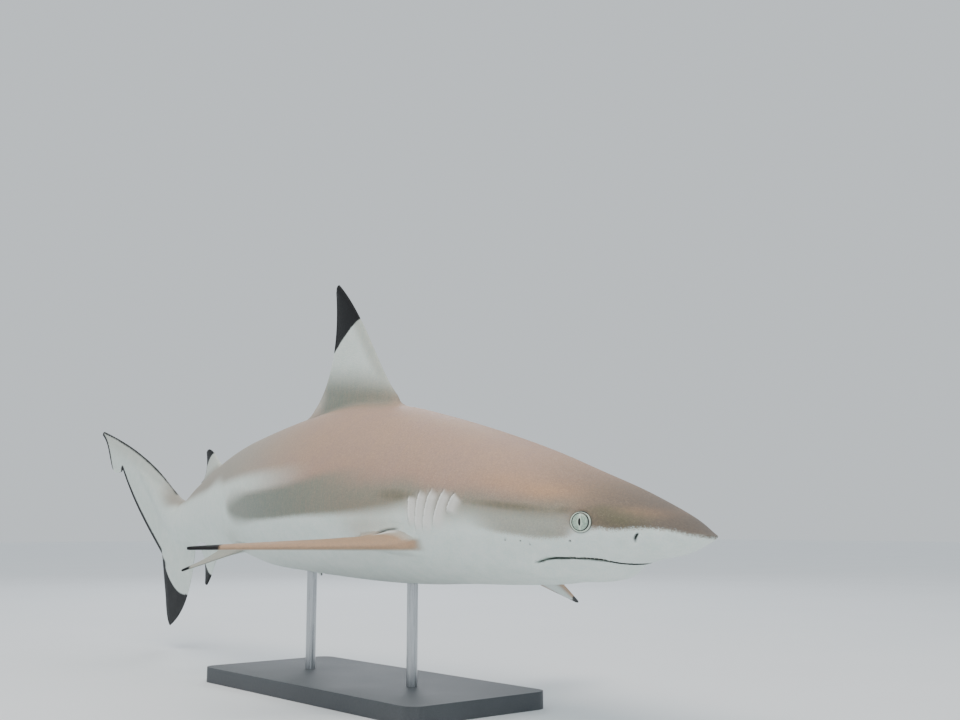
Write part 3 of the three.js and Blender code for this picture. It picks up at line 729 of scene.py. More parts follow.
class Relief:
    """How far each skin point is lifted, and the colours that go with the shapes: painted shade in
    grooves and pits, painted highlights along rims, and paler gill flaps.
    """

    def __init__(self, points):
        self.points = points
        self.station = -points[:, 0]
        # The second of these fields is painted shade, the third painted highlight along rims.
        self.lift, self.painted_shade, self.edge, self.flap = (np.zeros(len(points)) for _ in range(4))

    def beside(self, route, side, front, rear):
        """The points near a route on one flank, their distance ahead of it, their share of it."""
        near = near_flank(self.points, side, front, rear)
        return near, *path_place(self.points[near], flank_path(route, side))

    # Paints shade into the colour of points that lie in a groove or pit.
    def paint_shade_into(self, near, amount):
        self.painted_shade[near] = np.maximum(self.painted_shade[near], amount)

    def lift_lids(self):
        radius = np.minimum(eye_radius(self.points), 4)
        self.lift += 0.085 * bell(radius - 0.635, 0.052) - 0.025 * bell(radius - 0.79, 0.06)
        self.lift -= 0.5 * fade(0.5, 0.59, radius)
        return radius

    def cut_nostril(self, side):
        near, offset, share = self.beside(slit_route(NOSTRIL), side, 2.6, 5)
        taper = smoothstep(-0.05, 0.35, share) * fade(0.6, 1.02, share)
        groove = bell(offset, 0.045 + 0.035 * taper) * taper
        lip = bell(np.abs(offset) - 0.16, 0.07) * taper
        self.lift[near] += 0.045 * lip - 0.3 * groove
        # Painted shade in the nostril's groove.
        self.paint_shade_into(near, groove)

    def press_pores(self, side):
        near = near_flank(self.points, side, 7, 13.5)
        for station, height, width in PORES:
            away = self.points[near] - np.array(flank_point(station, height, side))
            pit = np.exp(-(((away**2).sum(1) / width**2) ** 1.5))
            self.lift[near] -= 0.08 * pit
            # Each pore's pit is darkened: partly the pore's own dark, partly painted shade.
            self.paint_shade_into(near, 0.85 * pit)

    def lift_gill_flap(self, slit, side):
        """A raised flap ahead of the slit, the slit's groove with painted shade in it, a painted
        highlight along the flap's rim, and a hollow behind it.
        """
        near, offset, share = self.beside(slit_route(slit), side, 15.6, 23.2)
        taper = smoothstep(-0.01, 0.2, share) * fade(0.72, 1.01, share)
        swell = np.where(offset >= 0, np.exp(-((np.maximum(offset, 0) / 0.42) ** 1.5)), 0)
        hollow = np.where(offset < 0, np.exp(-np.maximum(-offset, 0) / 0.3), 0)
        groove = bell(offset + 0.08, 0.06)
        self.lift[near] += (0.12 * swell - 0.08 * hollow - 0.14 * groove) * taper
        self.paint_shade_into(near, 0.42 * groove * taper)
        # Painted highlight along the flap's rim.
        rim = bell(offset - 0.07, 0.085) * taper * (0.3 + 0.7 * fade(0.6, 1.0, share))
        self.edge[near] = np.maximum(self.edge[near], rim)
        self.flap[near] = np.maximum(self.flap[near], bell(offset - 0.35, 0.5) * taper)

    def fold_axil(self, side):
        """The fold over the rear of a pectoral fin's root, with painted shade in its groove and a pale
        rim of painted highlight under it.
        """
        route = axil_fold(side)
        near, offset, share = self.beside(route, side, 21.8, 25.6)
        here = self.points[near]
        above = here[:, 2] - np.interp(-here[:, 0], *np.transpose(route))
        taper = smoothstep(-0.05, 0.3, share) * fade(0.75, 1.05, share) * (body_depth(here) < 1.08)
        groove = bell(offset, 0.07) * taper
        self.lift[near] -= 0.12 * groove
        # Painted shade in the fold's groove.
        self.paint_shade_into(near, 0.8 * groove)
        self.edge[near] = np.maximum(self.edge[near], bell(above + 0.17, 0.08) * taper * 0.9)

    def fold_under_first_dorsal(self):
        over = self.points[:, 2] - back_line(self.station)
        fold = bell(over - 0.06, 0.07) * (np.abs(self.points[:, 1]) < 0.8)
        fold *= smoothstep(40.9, 42.2, self.station) * fade(44.7, 45.3, self.station)
        self.lift -= 0.08 * fold
        # Painted shade in the fold under the first dorsal's free rear tip.
        self.painted_shade = np.maximum(self.painted_shade, 0.95 * fold)

    def press_tail_pit(self):
        """The notch in the back just before the tail fin."""
        self.lift -= 0.25 * bell(self.station - 74.2, 0.45) * smoothstep(0.6, 2, self.points[:, 2])


def work_in_details(points, normals):
    """Moves the skin's points for the lids, nostrils, pores, gill flaps, folds and tail pit."""
    relief = Relief(points)
    lid = relief.lift_lids()
    for side in (1, -1):
        relief.cut_nostril(side)
        relief.press_pores(side)
        for slit in GILL_SLITS:
            relief.lift_gill_flap(slit, side)
        relief.fold_axil(side)
    relief.fold_under_first_dorsal()
    relief.press_tail_pit()
    moved = points + normals * relief.lift[:, None]
    # Besides the lids' radius and the flaps, these fields carry painted shade and painted highlight.
    return moved, dict(lid=lid, painted_shade=relief.painted_shade, rim_highlight=relief.edge, flap=relief.flap)


MOUTH_STATIONS = np.linspace(MOUTH_FRONT, MOUTH_CORNER, 40)
# How dark the mouth's slit is painted at its front and corner: painted shade inside the narrow gap.
MOUTH_SHADE_FRONT, MOUTH_SHADE_CORNER = 0.95, 0.15


def mouth_fields(points):
    """Which points lie inside the mouth's slit, and which on the lips or in it."""
    station = -points[:, 0]
    share = mouth_share(station)
    half_gap = mouth_gap(share) / 2
    away = np.abs(points[:, 2] - mouth_height(station))
    in_reach = (station > MOUTH_FRONT - 0.2) & (station < MOUTH_CORNER + 0.1)
    jaw_side = JAW_HALF_WIDTH * share**JAW_SPREAD
    body_side = np.array([abs(flank_point(s, float(mouth_height(s)), 1).y) for s in MOUTH_STATIONS])
    outer = np.maximum(jaw_side, np.interp(station, MOUTH_STATIONS, body_side))
    inside = in_reach & (away < half_gap + 0.02) & (np.abs(points[:, 1]) < outer - 0.03)
    return inside, in_reach & (away < half_gap + 0.1)


# ---------------------------------------------------------------- markings

# Height of the border between the dark back and the white belly, by station.
BORDER = [
    (0.1, -0.12), (0.6, -0.05), (1.0, -0.02), (1.75, 0.09), (2.5, 0.14), (3.55, 0.06), (4.4, -0.1),
    (4.9, -0.2), (5.8, -0.2), (7, -0.48), (8.1, -0.85), (9.2, -1.05), (11.5, -1.1), (13.9, -1.0),
    (15.6, -0.8), (18, -0.95), (20, -0.75), (22, -0.3), (24, -0.5), (26, -0.65), (30, -0.93),
    (34.4, -1.16), (39.7, -1.42), (44.3, -1.52), (47.9, -1.6), (50.1, -1.38), (51.5, -0.7),
    (52.3, 0.2), (53.5, 1.2), (60.9, 1.3), (68, 1.25), (74, 0.9), (79, 2.4), (86, 6.9),
]
# How far above that border the dark is full, and how far below it the last of it ends.
BORDER_RISE = [
    (0, 0.16), (4.5, 0.22), (6.3, 0.35), (8, 1.2), (10, 1.7), (14, 1.7), (17, 1.7), (20, 1.5),
    (22.5, 0.9), (25, 0.7), (29, 0.45), (36, 0.35), (46, 0.4), (50, 0.9), (53, 1.3), (62, 1.2),
    (74, 1.4),
]
BORDER_FALL = [
    (0, 0.14), (6, 0.16), (9, 0.35), (20, 0.5), (25, 0.45), (30, 0.35), (45, 0.4), (50, 0.75),
    (60, 0.6),
]
# The white wedge along the flank: its lower and upper edges.
WEDGE_LOWER = [
    (26, 2.5), (30, 2.3), (33.6, 1.86), (37, 1.39), (40.8, 1.08), (44.1, 0.92), (48.3, 0.73), (50.2, 0.5),
    (51.5, 0), (53.5, -2),
]
WEDGE_UPPER = [
    (30, 2.75), (37.6, 2.65), (40.2, 2.5), (43.2, 2.4), (46.5, 2.3), (50.1, 2.13), (54.8, 1.91),
    (60.9, 1.69), (66.2, 1.59),
]
# Soft tinges, of painted shade and, on the last line, of tan: middle station and height, reach along and
# up, strength.
SHADOW_TINGES = [
    (4.8, 0.5, 1.6, 0.6, 1.0), (6.1, 1.0, 0.9, 0.3, 0.55), (12.7, 0.66, 3.2, 0.24, 0.7),
    (9.6, -0.75, 0.9, 0.3, 0.35), (22.9, 0.75, 2.0, 0.42, 0.6), (26.2, -1.15, 1.2, 0.75, 0.35),
    (8.2, 0.75, 0.6, 0.25, 0.35),
]
TAN_TINGES = [(10.2, 1.75, 2.2, 0.65, 0.6), (4.2, 1.0, 1.4, 0.3, 0.35), (13.6, 2.3, 2.4, 0.7, 0.4)]

D1_BLACK = ((36.2, 15.6), (39.7, 13.2))
TAIL_BLACK = ((73.7, -7.75), (79.4, -4.5))
ANAL_BLACK = ((66.2, -6.1), (68.3, -4.6))
D2_BLACK = ((65.8, 6.3), (67.8, 5.2))
MIDLINE_FIN_REACH = 1.6
TAIL_MARGIN, TAIL_HIND_MARGIN, D2_MARGIN, TAIL_BLACK_SAG = 0.26, 0.5, 0.12, 0.9


def tinge(spots, station, height):
    """Sum of soft oval spots."""
    total = np.zeros(len(station))
    for s, z, along, up, strength in spots:
        total += strength * np.exp(-(((station - s) / along) ** 2) - ((height - z) / up) ** 2)
    return np.clip(total, 0, 1)


def edge_distance(station, height, curve):
    spans = np.stack([station, height], -1)[:, None] - curve[None]
    return np.sqrt((spans**2).sum(-1).min(1))


def within(station, height, loop):
    """True for points inside a closed outline."""
    inside = np.zeros(len(station), bool)
    for (s0, z0), (s1, z1) in zip(loop, np.roll(loop, -1, 0)):
        if z0 != z1:
            crossing = s0 + (height - z0) * (s1 - s0) / (z1 - z0)
            inside ^= ((z0 > height) != (z1 > height)) & (station < crossing)
    return inside


def paired_fin_place(points, name):
    """Back, outward and off-blade distances in a paired fin's own directions."""
    _, side, root, droop, _, _ = PAIRED_FINS[name]
    lean = math.radians(droop)
    across, height = side * points[:, 1] - root[1], points[:, 2] - root[2]
    out = across * math.cos(lean) - height * math.sin(lean)
    off = across * math.sin(lean) + height * math.cos(lean)
    return -points[:, 0] - root[0], out, off


class FinMarks:
    """Which skin points lie on a fin, with its tone (1 is as dark as the back) and its black."""

    def __init__(self, points):
        self.points, self.beyond = points, body_depth(points)
        self.station, self.height = -points[:, 0], points[:, 2]
        self.over = self.height - back_line(self.station)
        self.under = belly_line(self.station) - self.height
        self.thin = np.abs(points[:, 1]) < MIDLINE_FIN_REACH
        self.black = np.full(len(points), -3.0)
        self.share, self.tone, self.warm = (np.zeros(len(points)) for _ in range(3))

    def add(self, where, share, tone, black):
        share = np.where(where, np.clip(share, 0, 1), 0)
        self.tone = np.where(share > 0, tone, self.tone)
        self.share = np.maximum(self.share, share)
        self.black = np.where(where, np.maximum(self.black, black), self.black)

    def over_line(self, line):
        (s0, z0), (s1, z1) = line
        return self.height - (z0 + (z1 - z0) * (self.station - s0) / (s1 - s0))

    def to_curve(self, curve):
        return edge_distance(self.station, self.height, curve)

    def mark_first_dorsal(self):
        """Grey foot, pale middle and black tip; the leading edge stays a little darker."""
        station, height = self.station, self.height
        on_lead = fade(0.35, 1.5, self.to_curve(bezier(D1_EDGE, 120)))
        pale = smoothstep(8.8, 12.0, height - 0.12 * (station - 36))
        tone = np.maximum(0.96 - 0.9 * pale, 0.5 * on_lead) - 0.5 * first_dorsal_rear(station)
        where = self.thin & (station > 27.5) & (station < 46) & (self.over > 0.05)
        self.add(where, self.over / 1.4, np.clip(tone, 0.05, 1), self.over_line(D1_BLACK))

    def mark_second_dorsal(self):
        hind = D2_MARGIN - self.to_curve(bezier(D2_HOLLOW, 40))
        where = self.thin & (self.station > 60) & (self.station < 72) & (self.over > 0.03)
        self.add(where, self.over / 0.9, 0.4, np.maximum(self.over_line(D2_BLACK), hind))

    def mark_anal_fin(self):
        where = self.thin & (self.station > 59) & (self.station < 69.5) & (self.under > 0.03)
        self.add(where, self.under / 0.7, 0.04, -self.over_line(ANAL_BLACK))

    def mark_tail(self):
        """Black lower tip with a hollow border, and thin black edges along the top and behind."""
        station, height = self.station, self.height
        tail = (station > 70) & ((self.beyond > 1.01) | (station > 88))
        tail &= np.abs(self.points[:, 1]) < 1.2
        top, end_back = bezier(TAIL_UPPER, 90), bezier(TAIL_END_BACK, 24)
        hollow = joined(bezier(TAIL_LOBE_BACK, 30), bezier(TAIL_HOLLOW, 60))
        below = joined(bezier(TAIL_LOBE_FRONT, 30), hollow, bezier(TAIL_END_FOOT, 12), end_back)
        past_edge = ~within(station, height, np.concatenate([below, top[::-1]])) & tail
        to_hind = self.to_curve(np.concatenate([hollow, end_back]))
        to_top = self.to_curve(top)
        hind_black = (TAIL_HIND_MARGIN - to_hind) * (smoothstep(-6, 2, height) * 0.6 + 0.4)
        hind_black = np.where(past_edge & (to_hind < 1.2), 0.5, hind_black)
        top_black = TAIL_MARGIN - to_top - 0.5 * fade(75, 77, station)
        (front, _), (rear, _) = TAIL_BLACK
        along = (station - front) / (rear - front)
        sag = TAIL_BLACK_SAG * 4 * np.clip(along * (1 - along), 0, 1)
        black = np.maximum(np.maximum(hind_black, top_black), -self.over_line(TAIL_BLACK) - sag)
        tone = 0.1 + 0.32 * fade(0.3, 2.6, to_top)
        self.add(tail, (self.beyond - 1) * half_width(station) * 1.5, tone, black)
        core = smoothstep(76, 82, station)
        self.tone = np.where(core > self.share, tone, self.tone)
        self.share = np.maximum(self.share, core)

    def mark_paired_fin(self, name):
        """Dark above and white below, with a black tip; the root's dark passes onto the flank."""
        form, _, _, _, _, span = PAIRED_FINS[name]
        back, out, off = paired_fin_place(self.points, name)
        start, reach_off = form["skin_at"], np.abs(off)
        blade = (out > start - 0.4) & (reach_off < 1.1) & (self.beyond > 1.01)
        blade &= (back > -1) & (back < form["chord"] + span)
        share = np.where(blade, np.clip((out - start + 0.4) / 1.1, 0, 1), 0)
        root = smoothstep(-1.4, 0.2, out - start) * fade(0.3, 0.75, reach_off)
        root *= smoothstep(0.2, 1.2, back) * fade(-2.2, -0.8, back - form["chord"])
        share = np.maximum(share, np.where(reach_off < 1.1, root, 0))
        half = form["thickness"] / 2 * (1 - 0.75 * np.clip(out / span, 0, 1))
        top = smoothstep(-0.8, -0.35, off / half)
        self.warm = np.maximum(self.warm, share * top * form["warmth"])
        reach = np.hypot(out, np.maximum(back, 0))
        black = (reach - form["black_from"] * span) * 0.7 - (1 - top) * 0.9
        self.add(share > 0, share, top * form["top_tone"] + 0.04, np.where(blade, black, -3))


def first_dorsal_rear(station):
    """1 at the free rear tip of the first dorsal fin."""
    return smoothstep(40.5, 43, station)


def flank_marks(points):
    """The white wedge along the flank, and the dark band under it and at the first dorsal's foot."""
    station, height = -points[:, 0], points[:, 2]
    shade = height - curve_through(BORDER)(station)
    lower = height - curve_through(WEDGE_LOWER)(station)
    upper = curve_through(WEDGE_UPPER)(station) - height
    softer = 0.9 * smoothstep(45, 51, station)
    wedge = smoothstep(-0.3 - softer, 0.45 + softer, lower) * smoothstep(33, 50, station)
    wedge *= smoothstep(-0.75, 0.45, upper)
    band = fade(1.4, 3.0, shade) * smoothstep(7, 9.5, station)
    band += (fade(-0.4, 0.6, lower) - band) * smoothstep(23, 34, station)
    band *= fade(51, 58, station)
    at_foot = smoothstep(29, 32, station) * (1 - first_dorsal_rear(station))
    at_foot *= np.abs(points[:, 1]) < 2.4
    band = np.maximum(band, smoothstep(-0.75, 0.4, height - back_line(station)) * at_foot)
    return shade, wedge, band


def mark_skin(points):
    """Fields that the skin's material turns into markings and painted shade."""
    station, height = -points[:, 0], points[:, 2]
    fins = FinMarks(points)
    fins.mark_first_dorsal()
    fins.mark_second_dorsal()
    fins.mark_anal_fin()
    fins.mark_tail()
    for name in PAIRED_FINS:
        fins.mark_paired_fin(name)
    shade, wedge, band = flank_marks(points)
    return dict(
        shade=shade, wedge=wedge, band=band * (1 - fins.warm),
        rise=curve_through(BORDER_RISE)(station), fall=curve_through(BORDER_FALL)(station),
        cheek=smoothstep(7.2, 8.3, station) * fade(12.5, 16.5, station),
        far_tail=smoothstep(33, 54, station),
        shadow_patch=tinge(SHADOW_TINGES, station, height) * (1 - fins.warm),
        warm=np.maximum(tinge(TAN_TINGES, station, height), fins.warm),
        black=fins.black, fin=fins.share, fin_tone=fins.tone,
    )


# ---------------------------------------------------------------- backbone

SPINE_FIRST, SPINE_LAST, SPINE_STEPS = -4, 104, 400


def spine_frames():
    """Points, left and up directions along the bent backbone, from the snout back."""
    stations = np.linspace(SPINE_FIRST, SPINE_LAST, SPINE_STEPS + 1)
    turn, rise = np.radians(heading(stations)), np.radians(tilt(stations))
    ahead = np.stack([np.cos(turn) * np.cos(rise), np.sin(turn) * np.cos(rise), np.sin(rise)], 1)
    left = np.stack([-np.sin(turn), np.cos(turn), np.zeros_like(turn)], 1)
    step = HUNDREDTH * (SPINE_LAST - SPINE_FIRST) / SPINE_STEPS
    points = np.zeros_like(ahead)
    points[1:] = -np.cumsum(ahead[1:], 0) * step
    return stations, points, left, np.cross(ahead, left)


SPINE = spine_frames()


def bend(points):
    """Carries straight points, in hundredths, to the bent body, in metres from its first frame."""
    stations, places, left, up = SPINE

    def at(values):
        return np.stack([np.interp(-points[:, 0], stations, values[:, k]) for k in range(3)], 1)

    side, height = points[:, 1:2] * HUNDREDTH, points[:, 2:3] * HUNDREDTH
    return at(places) + side * at(left) + height * at(up)


def body_origin():
    """Where the first frame of the backbone stands over the stand's base."""
    low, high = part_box("stand_base")
    over_base = bend(np.array([[-BASE_STATION, 0, 0]], float))[0]
    middle = (np.array(low) + np.array(high)) / 2
    return np.array([middle[0] - over_base[0], middle[1] - over_base[1], high[2] + SNOUT_ABOVE_BASE])


ORIGIN = body_origin()


def place(points):
    return bend(np.asarray(points, float)) + ORIGIN


def set_points(mesh, points):
    mesh.vertices.foreach_set("co", np.asarray(points, float).ravel())
    mesh.update()


def set_field(mesh, name, values):
    values = np.asarray(values, float)
    kind = "FLOAT_VECTOR" if values.ndim == 2 else "FLOAT"
    layer = mesh.attributes.new(name, kind, "POINT")
    layer.data.foreach_set("vector" if values.ndim == 2 else "value", values.ravel())


# ---------------------------------------------------------------- materials


class Value:
    """A number or a colour inside a material, which adds and multiplies as a plain number does."""

    def __init__(self, paint, socket):
        self.paint, self.socket = paint, socket

    def __add__(self, other):
        return self.paint.math("ADD", self, other)

    def __sub__(self, other):
        return self.paint.math("SUBTRACT", self, other)

    def __rsub__(self, other):
        return self.paint.math("SUBTRACT", other, self)

    def __mul__(self, other):
        return self.paint.math("MULTIPLY", self, other)

    __radd__, __rmul__ = __add__, __mul__


class Paint:
    """A node material that is written as short sums of values."""

    def __init__(self, name):
        self.material = bpy.data.materials.new(name)
        self.material.use_nodes = True
        self.tree = self.material.node_tree

    def value(self, kind, output, feeds=None, **settings):
        """An output of a new node, with values or plain numbers fed to its inputs."""
        node = self.tree.nodes.new("ShaderNode" + kind)
        for key, setting in settings.items():
            setattr(node, key, setting)
        for key, fed in (feeds or {}).items():
            self.feed(node.inputs[key], fed)
        return Value(self, node.outputs[output])

    def feed(self, socket, value):
        if isinstance(value, Value):
            self.tree.links.new(value.socket, socket)
        else:
            socket.default_value = colour(value) if isinstance(value, str) else value

    def field(self, name, output="Fac"):
        return self.value("Attribute", output, attribute_name=name)

    def object_place(self):
        return self.value("TexCoord", "Object")

    def axis(self, where, number):
        return self.value("SeparateXYZ", number, {0: where})

    def math(self, operation, a, b=0.0, clamp=False):
        return self.value("Math", 0, {0: a, 1: b}, operation=operation, use_clamp=clamp)

    def step(self, value, low, high):
        """0 below low and 1 above high, eased between."""
        feeds = dict(enumerate((value, low, high, 0.0, 1.0)))
        return self.value("MapRange", 0, feeds, interpolation_type="SMOOTHSTEP")

    def noise(self, where, scale, detail=3.0):
        """Noise about zero, from -0.5 to 0.5."""
        feeds = {"Vector": where, "Scale": scale, "Detail": detail, "Roughness": 0.55}
        return self.value("TexNoise", "Fac", feeds) - 0.5

    def cells(self, where, scale):
        return self.value("TexVoronoi", "Distance", {"Vector": where, "Scale": scale})

    def stretch(self, where, scales):
        return self.value("VectorMath", 0, {0: where, 1: scales}, operation="MULTIPLY")

    def mix(self, share, a, b, blend_type="MIX"):
        """Colour a, turned into colour b by a share."""
        feeds = {0: share, 6: a, 7: b}
        return self.value("Mix", 2, feeds, data_type="RGBA", blend_type=blend_type)

    def bump(self, height, distance, strength):
        feeds = {"Strength": strength, "Distance": distance, "Height": height}
        return self.value("Bump", "Normal", feeds)

    def finish(self, **sockets):
        shader = self.tree.nodes["Principled BSDF"]
        for name, value in sockets.items():
            self.feed(shader.inputs[name.replace("_", " ")], value)
        return self.material


def colour(code):
    """Linear colour from an sRGB hex code."""
    shares = [int(code[i : i + 2], 16) / 255 for i in (0, 2, 4)]
    linear = [x / 12.92 if x <= 0.04045 else ((x + 0.055) / 1.055) ** 2.4 for x in shares]
    return (*linear, 1.0)


def skin_darkness(paint, wander):
    """0 on the white belly and 1 on the dark back, with the cheek, the white wedge and the fins."""
    shade = paint.field("shade") + wander * 0.8
    dark = paint.step(shade, paint.field("fall") * -1.0, paint.field("rise"))
    cheek = paint.step(shade, -0.3, 0.12) * 0.78 + paint.step(shade, 0.9, 1.7) * 0.22
    dark = dark + (cheek - dark) * paint.field("cheek")
    wedge = paint.math("ADD", paint.field("wedge"), wander * 0.3, clamp=True)
    dark = dark * (1.0 - wedge * 0.9)
    return dark + (paint.field("fin_tone") - dark) * paint.field("fin")


def back_tint(paint, where, wander, upright):
    """Grey-brown snout darkened with painted shade, tan back, grey-green flank band, grey tail and olive
    painted shadows by the eye.
    """
    station = paint.axis(where, 0) * -1.0
    behind = paint.step(station, 6.0, 17.0)
    # Darker towards the snout: painted shade.
    back = paint.mix(paint.step(station, 2.0, 8.5), "625b55", "7b6d61")
    back = paint.mix(behind, back, "a3877a")
    back = paint.mix(paint.step(paint.field("shade"), 1.0, 5.0) * behind, back, "ab907f")
    clouds = paint.step(paint.noise(where, 0.35, 2.0) + upright, -0.25, 0.3)
    back = paint.mix(clouds * behind, back, "a68c80")
    back = paint.mix(paint.field("warm"), back, "b48f70")
    band = paint.math("MULTIPLY", paint.field("band"), upright * 0.6 + 0.9, clamp=True)
    back = paint.mix(band, back, paint.mix(paint.step(station, 24.0, 50.0), "86867a", "596f69"))
    back = paint.mix(paint.field("far_tail") * 0.75, back, "939892")
    # Olive patches of painted shadow.
    shadow_patch = paint.math("ADD", paint.field("shadow_patch"), wander * 0.7 + upright * 0.5, clamp=True)
    return paint.mix(shadow_patch * paint.step(paint.field("shadow_patch"), 0.02, 0.3), back, "625f4f")


def lid_tint(paint, tint):
    """A pale ring round the eye with a thin painted shadow outside it, and a dark rim of painted shade
    inside it, where the socket falls to the eyeball.
    """
    lid = paint.field("lid")
    ring = paint.step(lid, 0.58, 0.61) * (1.0 - paint.step(lid, 0.675, 0.71))
    shadow = paint.step(lid, 0.68, 0.715) * (1.0 - paint.step(lid, 0.73, 0.8)) * 0.75
    tint = paint.mix(ring, tint, "d2dfcf")
    tint = paint.mix(shadow, tint, "3c4640")
    # Painted shade where the socket falls to the eyeball.
    return paint.mix(1.0 - paint.step(lid, 0.56, 0.6), tint, "1f2a27")


def skin_paint():
    paint = Paint("shark_skin")
    where = paint.field("rest", "Vector")
    patch = paint.noise(where, 1.1)
    grain, speck = paint.noise(where, 6.0, 2.0), paint.noise(where, 15.0, 2.0)
    upright = paint.noise(paint.stretch(where, (3.2, 1.0, 0.7)), 1.6, 2.0)
    wander = patch * 0.16 + grain * 0.26 + speck * 0.7
    belly = paint.mix(paint.step(patch, -0.25, 0.25), "d3e2dd", "dde8e4")
    back = back_tint(paint, where, wander, upright)
    tint = paint.mix(skin_darkness(paint, wander), belly, back)
    tint = paint.mix(paint.step(grain + speck, -0.35, 0.35), tint, "d8cfc4", "SOFT_LIGHT")
    tint = paint.mix(paint.field("flap") * 0.85, tint, "e6e3dd")
    # Painted highlight along the gill flaps' rims and under the fold over each pectoral fin's root.
    tint = paint.mix(paint.field("rim_highlight") * 0.95, tint, "f4f5f0")
    tint = lid_tint(paint, tint)
    black = paint.step(paint.field("black") + wander * 0.5, -0.06, 0.14)
    tint = paint.mix(black, tint, "17181a")
    # Painted shade in the grooves, folds, nostrils and mouth's slit, and in the pores' pits, where the
    # pores also have some dark of their own.
    tint = paint.mix(paint.field("painted_shade"), tint, "26302f")
    return paint.finish(
        Base_Color=tint, Roughness=(grain + patch) * 0.16 + 0.55,
        Normal=paint.bump(paint.cells(where, 13.0) + grain * 0.8, 0.0006, 0.45),
        Specular_IOR_Level=0.2, Coat_Weight=0.03, Coat_Roughness=0.3,
    )


def eye_paint():
    """Pale grey-green iris with an upright black slit of a pupil and a dark rim of painted shade where
    the lid meets the ball.
    """
    paint = Paint("shark_eye")
    where = paint.field("eye", "Vector")
    along, up = paint.axis(where, 0), paint.axis(where, 1)
    up_square = up * up
    radius = paint.math("SQRT", along * along + up_square)
    fibres = paint.noise(paint.stretch(where, (14.0, 5.0, 1.0)), 1.0)
    mottle = paint.noise(where, 9.0, 2.0)
    iris = paint.mix(paint.step(fibres + mottle, -0.3, 0.35), "8ba593", "bccdbd")
    half_slit = paint.math("SQRT", paint.math("MAXIMUM", 1.0 - up_square * 17.0, 0.0)) * 0.085
    pupil = half_slit - paint.math("ABSOLUTE", along + up * 0.12)
    iris = paint.mix(paint.step(pupil, -0.1, -0.04), iris, "c9d8c8")
    iris = paint.mix(paint.step(pupil, -0.006, 0.004), iris, "010202")
    # Painted shade at the ball's edge, where the lid meets it.
    iris = paint.mix(paint.step(radius, 0.49, 0.54), iris, "131c1a")
    return paint.finish(
        Base_Color=iris, Roughness=0.35, Specular_IOR_Level=0.3, Coat_Weight=0.5, Coat_Roughness=0.04,
    )


def tooth_paint():
    paint = Paint("tooth_enamel")
    shade = paint.step(paint.noise(paint.field("rest", "Vector"), 8.0), -0.3, 0.3)
    tint = paint.mix(shade, "d9d5c4", "efece0")
    return paint.finish(Base_Color=tint, Roughness=0.25, Coat_Weight=0.4, Coat_Roughness=0.1)


def stand_paint():
    paint = Paint("stand_powder_coat")
    where = paint.object_place()
    speckle, cloud = paint.noise(where, 900.0, 2.0), paint.noise(where, 14.0)
    tint = paint.mix(paint.step(speckle + cloud, -0.4, 0.4), "3f4347", "4d5155")
    return paint.finish(
        Base_Color=tint, Roughness=cloud * 0.2 + 0.52, Normal=paint.bump(speckle, 0.0003, 0.6),
        Specular_IOR_Level=0.45,
    )


def steel_paint():
    paint = Paint("stand_brushed_steel")
    brushing = paint.noise(paint.stretch(paint.object_place(), (900.0, 900.0, 30.0)), 1.0, 2.0)
    tint = paint.mix(paint.step(brushing, -0.3, 0.3), "a9adb1", "c4c7ca")
    return paint.finish(
        Base_Color=tint, Metallic=1.0, Roughness=brushing * 0.25 + 0.3,
        Normal=paint.bump(brushing, 0.0001, 0.25),
    )


def floor_paint():
    paint = Paint("studio_floor")
    shade = paint.step(paint.noise(paint.object_place(), 3.0), -0.4, 0.4)
    tint = paint.mix(shade, "e6eaed", "eaedf0")
    return paint.finish(Base_Color=tint, Roughness=0.8, Specular_IOR_Level=0.2)


# ---------------------------------------------------------------- the pieces


def finish_skin():
    skin = make_skin()
    mesh = skin.data
    refine(mesh, detail_zones())
    points, pairs = coordinates(mesh), edge_pairs(mesh)
    inside, lips = mouth_fields(points)
    points = relax(points, pairs, lips * 0.8, 3)
    points = relax(points, pairs, detail_weight(points), 4)
    set_points(mesh, points)
    normals = np.array([tuple(n.vector) for n in mesh.vertex_normals])
    moved, fields = work_in_details(points, normals)
    fields.update(mark_skin(points))
    # Painted shade inside the mouth's slit, darkest at the front and fading toward the corners.
    slit_shade = MOUTH_SHADE_FRONT + (MOUTH_SHADE_CORNER - MOUTH_SHADE_FRONT) * mouth_share(-points[:, 0])
    fields["painted_shade"] = np.maximum(fields["painted_shade"], inside * slit_shade)
    fields["rest"] = moved
    set_points(mesh, place(moved))
    for name, values in fields.items():
        set_field(mesh, name, values)
    mesh.shade_smooth()
    mesh.materials.clear()
    mesh.materials.append(skin_paint())
    return skin


def make_eye(name, side_sign):
    """An eyeball a little flatter than a ball, sunk in its socket."""
    middle, forward, upward, normal = flank_frame(EYE_STATION, EYE_HEIGHT, side_sign)
    rows, columns = 64, 96
    polar = np.linspace(0, math.pi, rows + 1)[1:-1]
    turn = np.linspace(0, 2 * math.pi, columns, endpoint=False)
    along = np.sin(polar)[:, None] * np.cos(turn)[None]
    up = np.sin(polar)[:, None] * np.sin(turn)[None]
    out = np.repeat(np.cos(polar)[:, None], columns, 1)
    local = np.stack([along * EYEBALL[0], up * EYEBALL[1], out * EYEBALL[2]], -1)
    basis = np.stack([forward, upward, normal])
    obj = ring_mesh(name, middle - normal * EYE_SINK + local @ basis)
    points = coordinates(obj.data)
    set_field(obj.data, "eye", np.stack(eye_place(points, side_sign), 1))
    set_points(obj.data, place(points))
    obj.data.shade_smooth()
    return obj


TEETH_PER_SIDE, FIRST_TOOTH, LAST_TOOTH = 11, MOUTH_FRONT + 0.45, 8.2
TOOTH_WIDTH, TOOTH_LENGTH, TOOTH_THICKNESS, TOOTH_SIDES = 0.13, 0.24, 0.06, 8
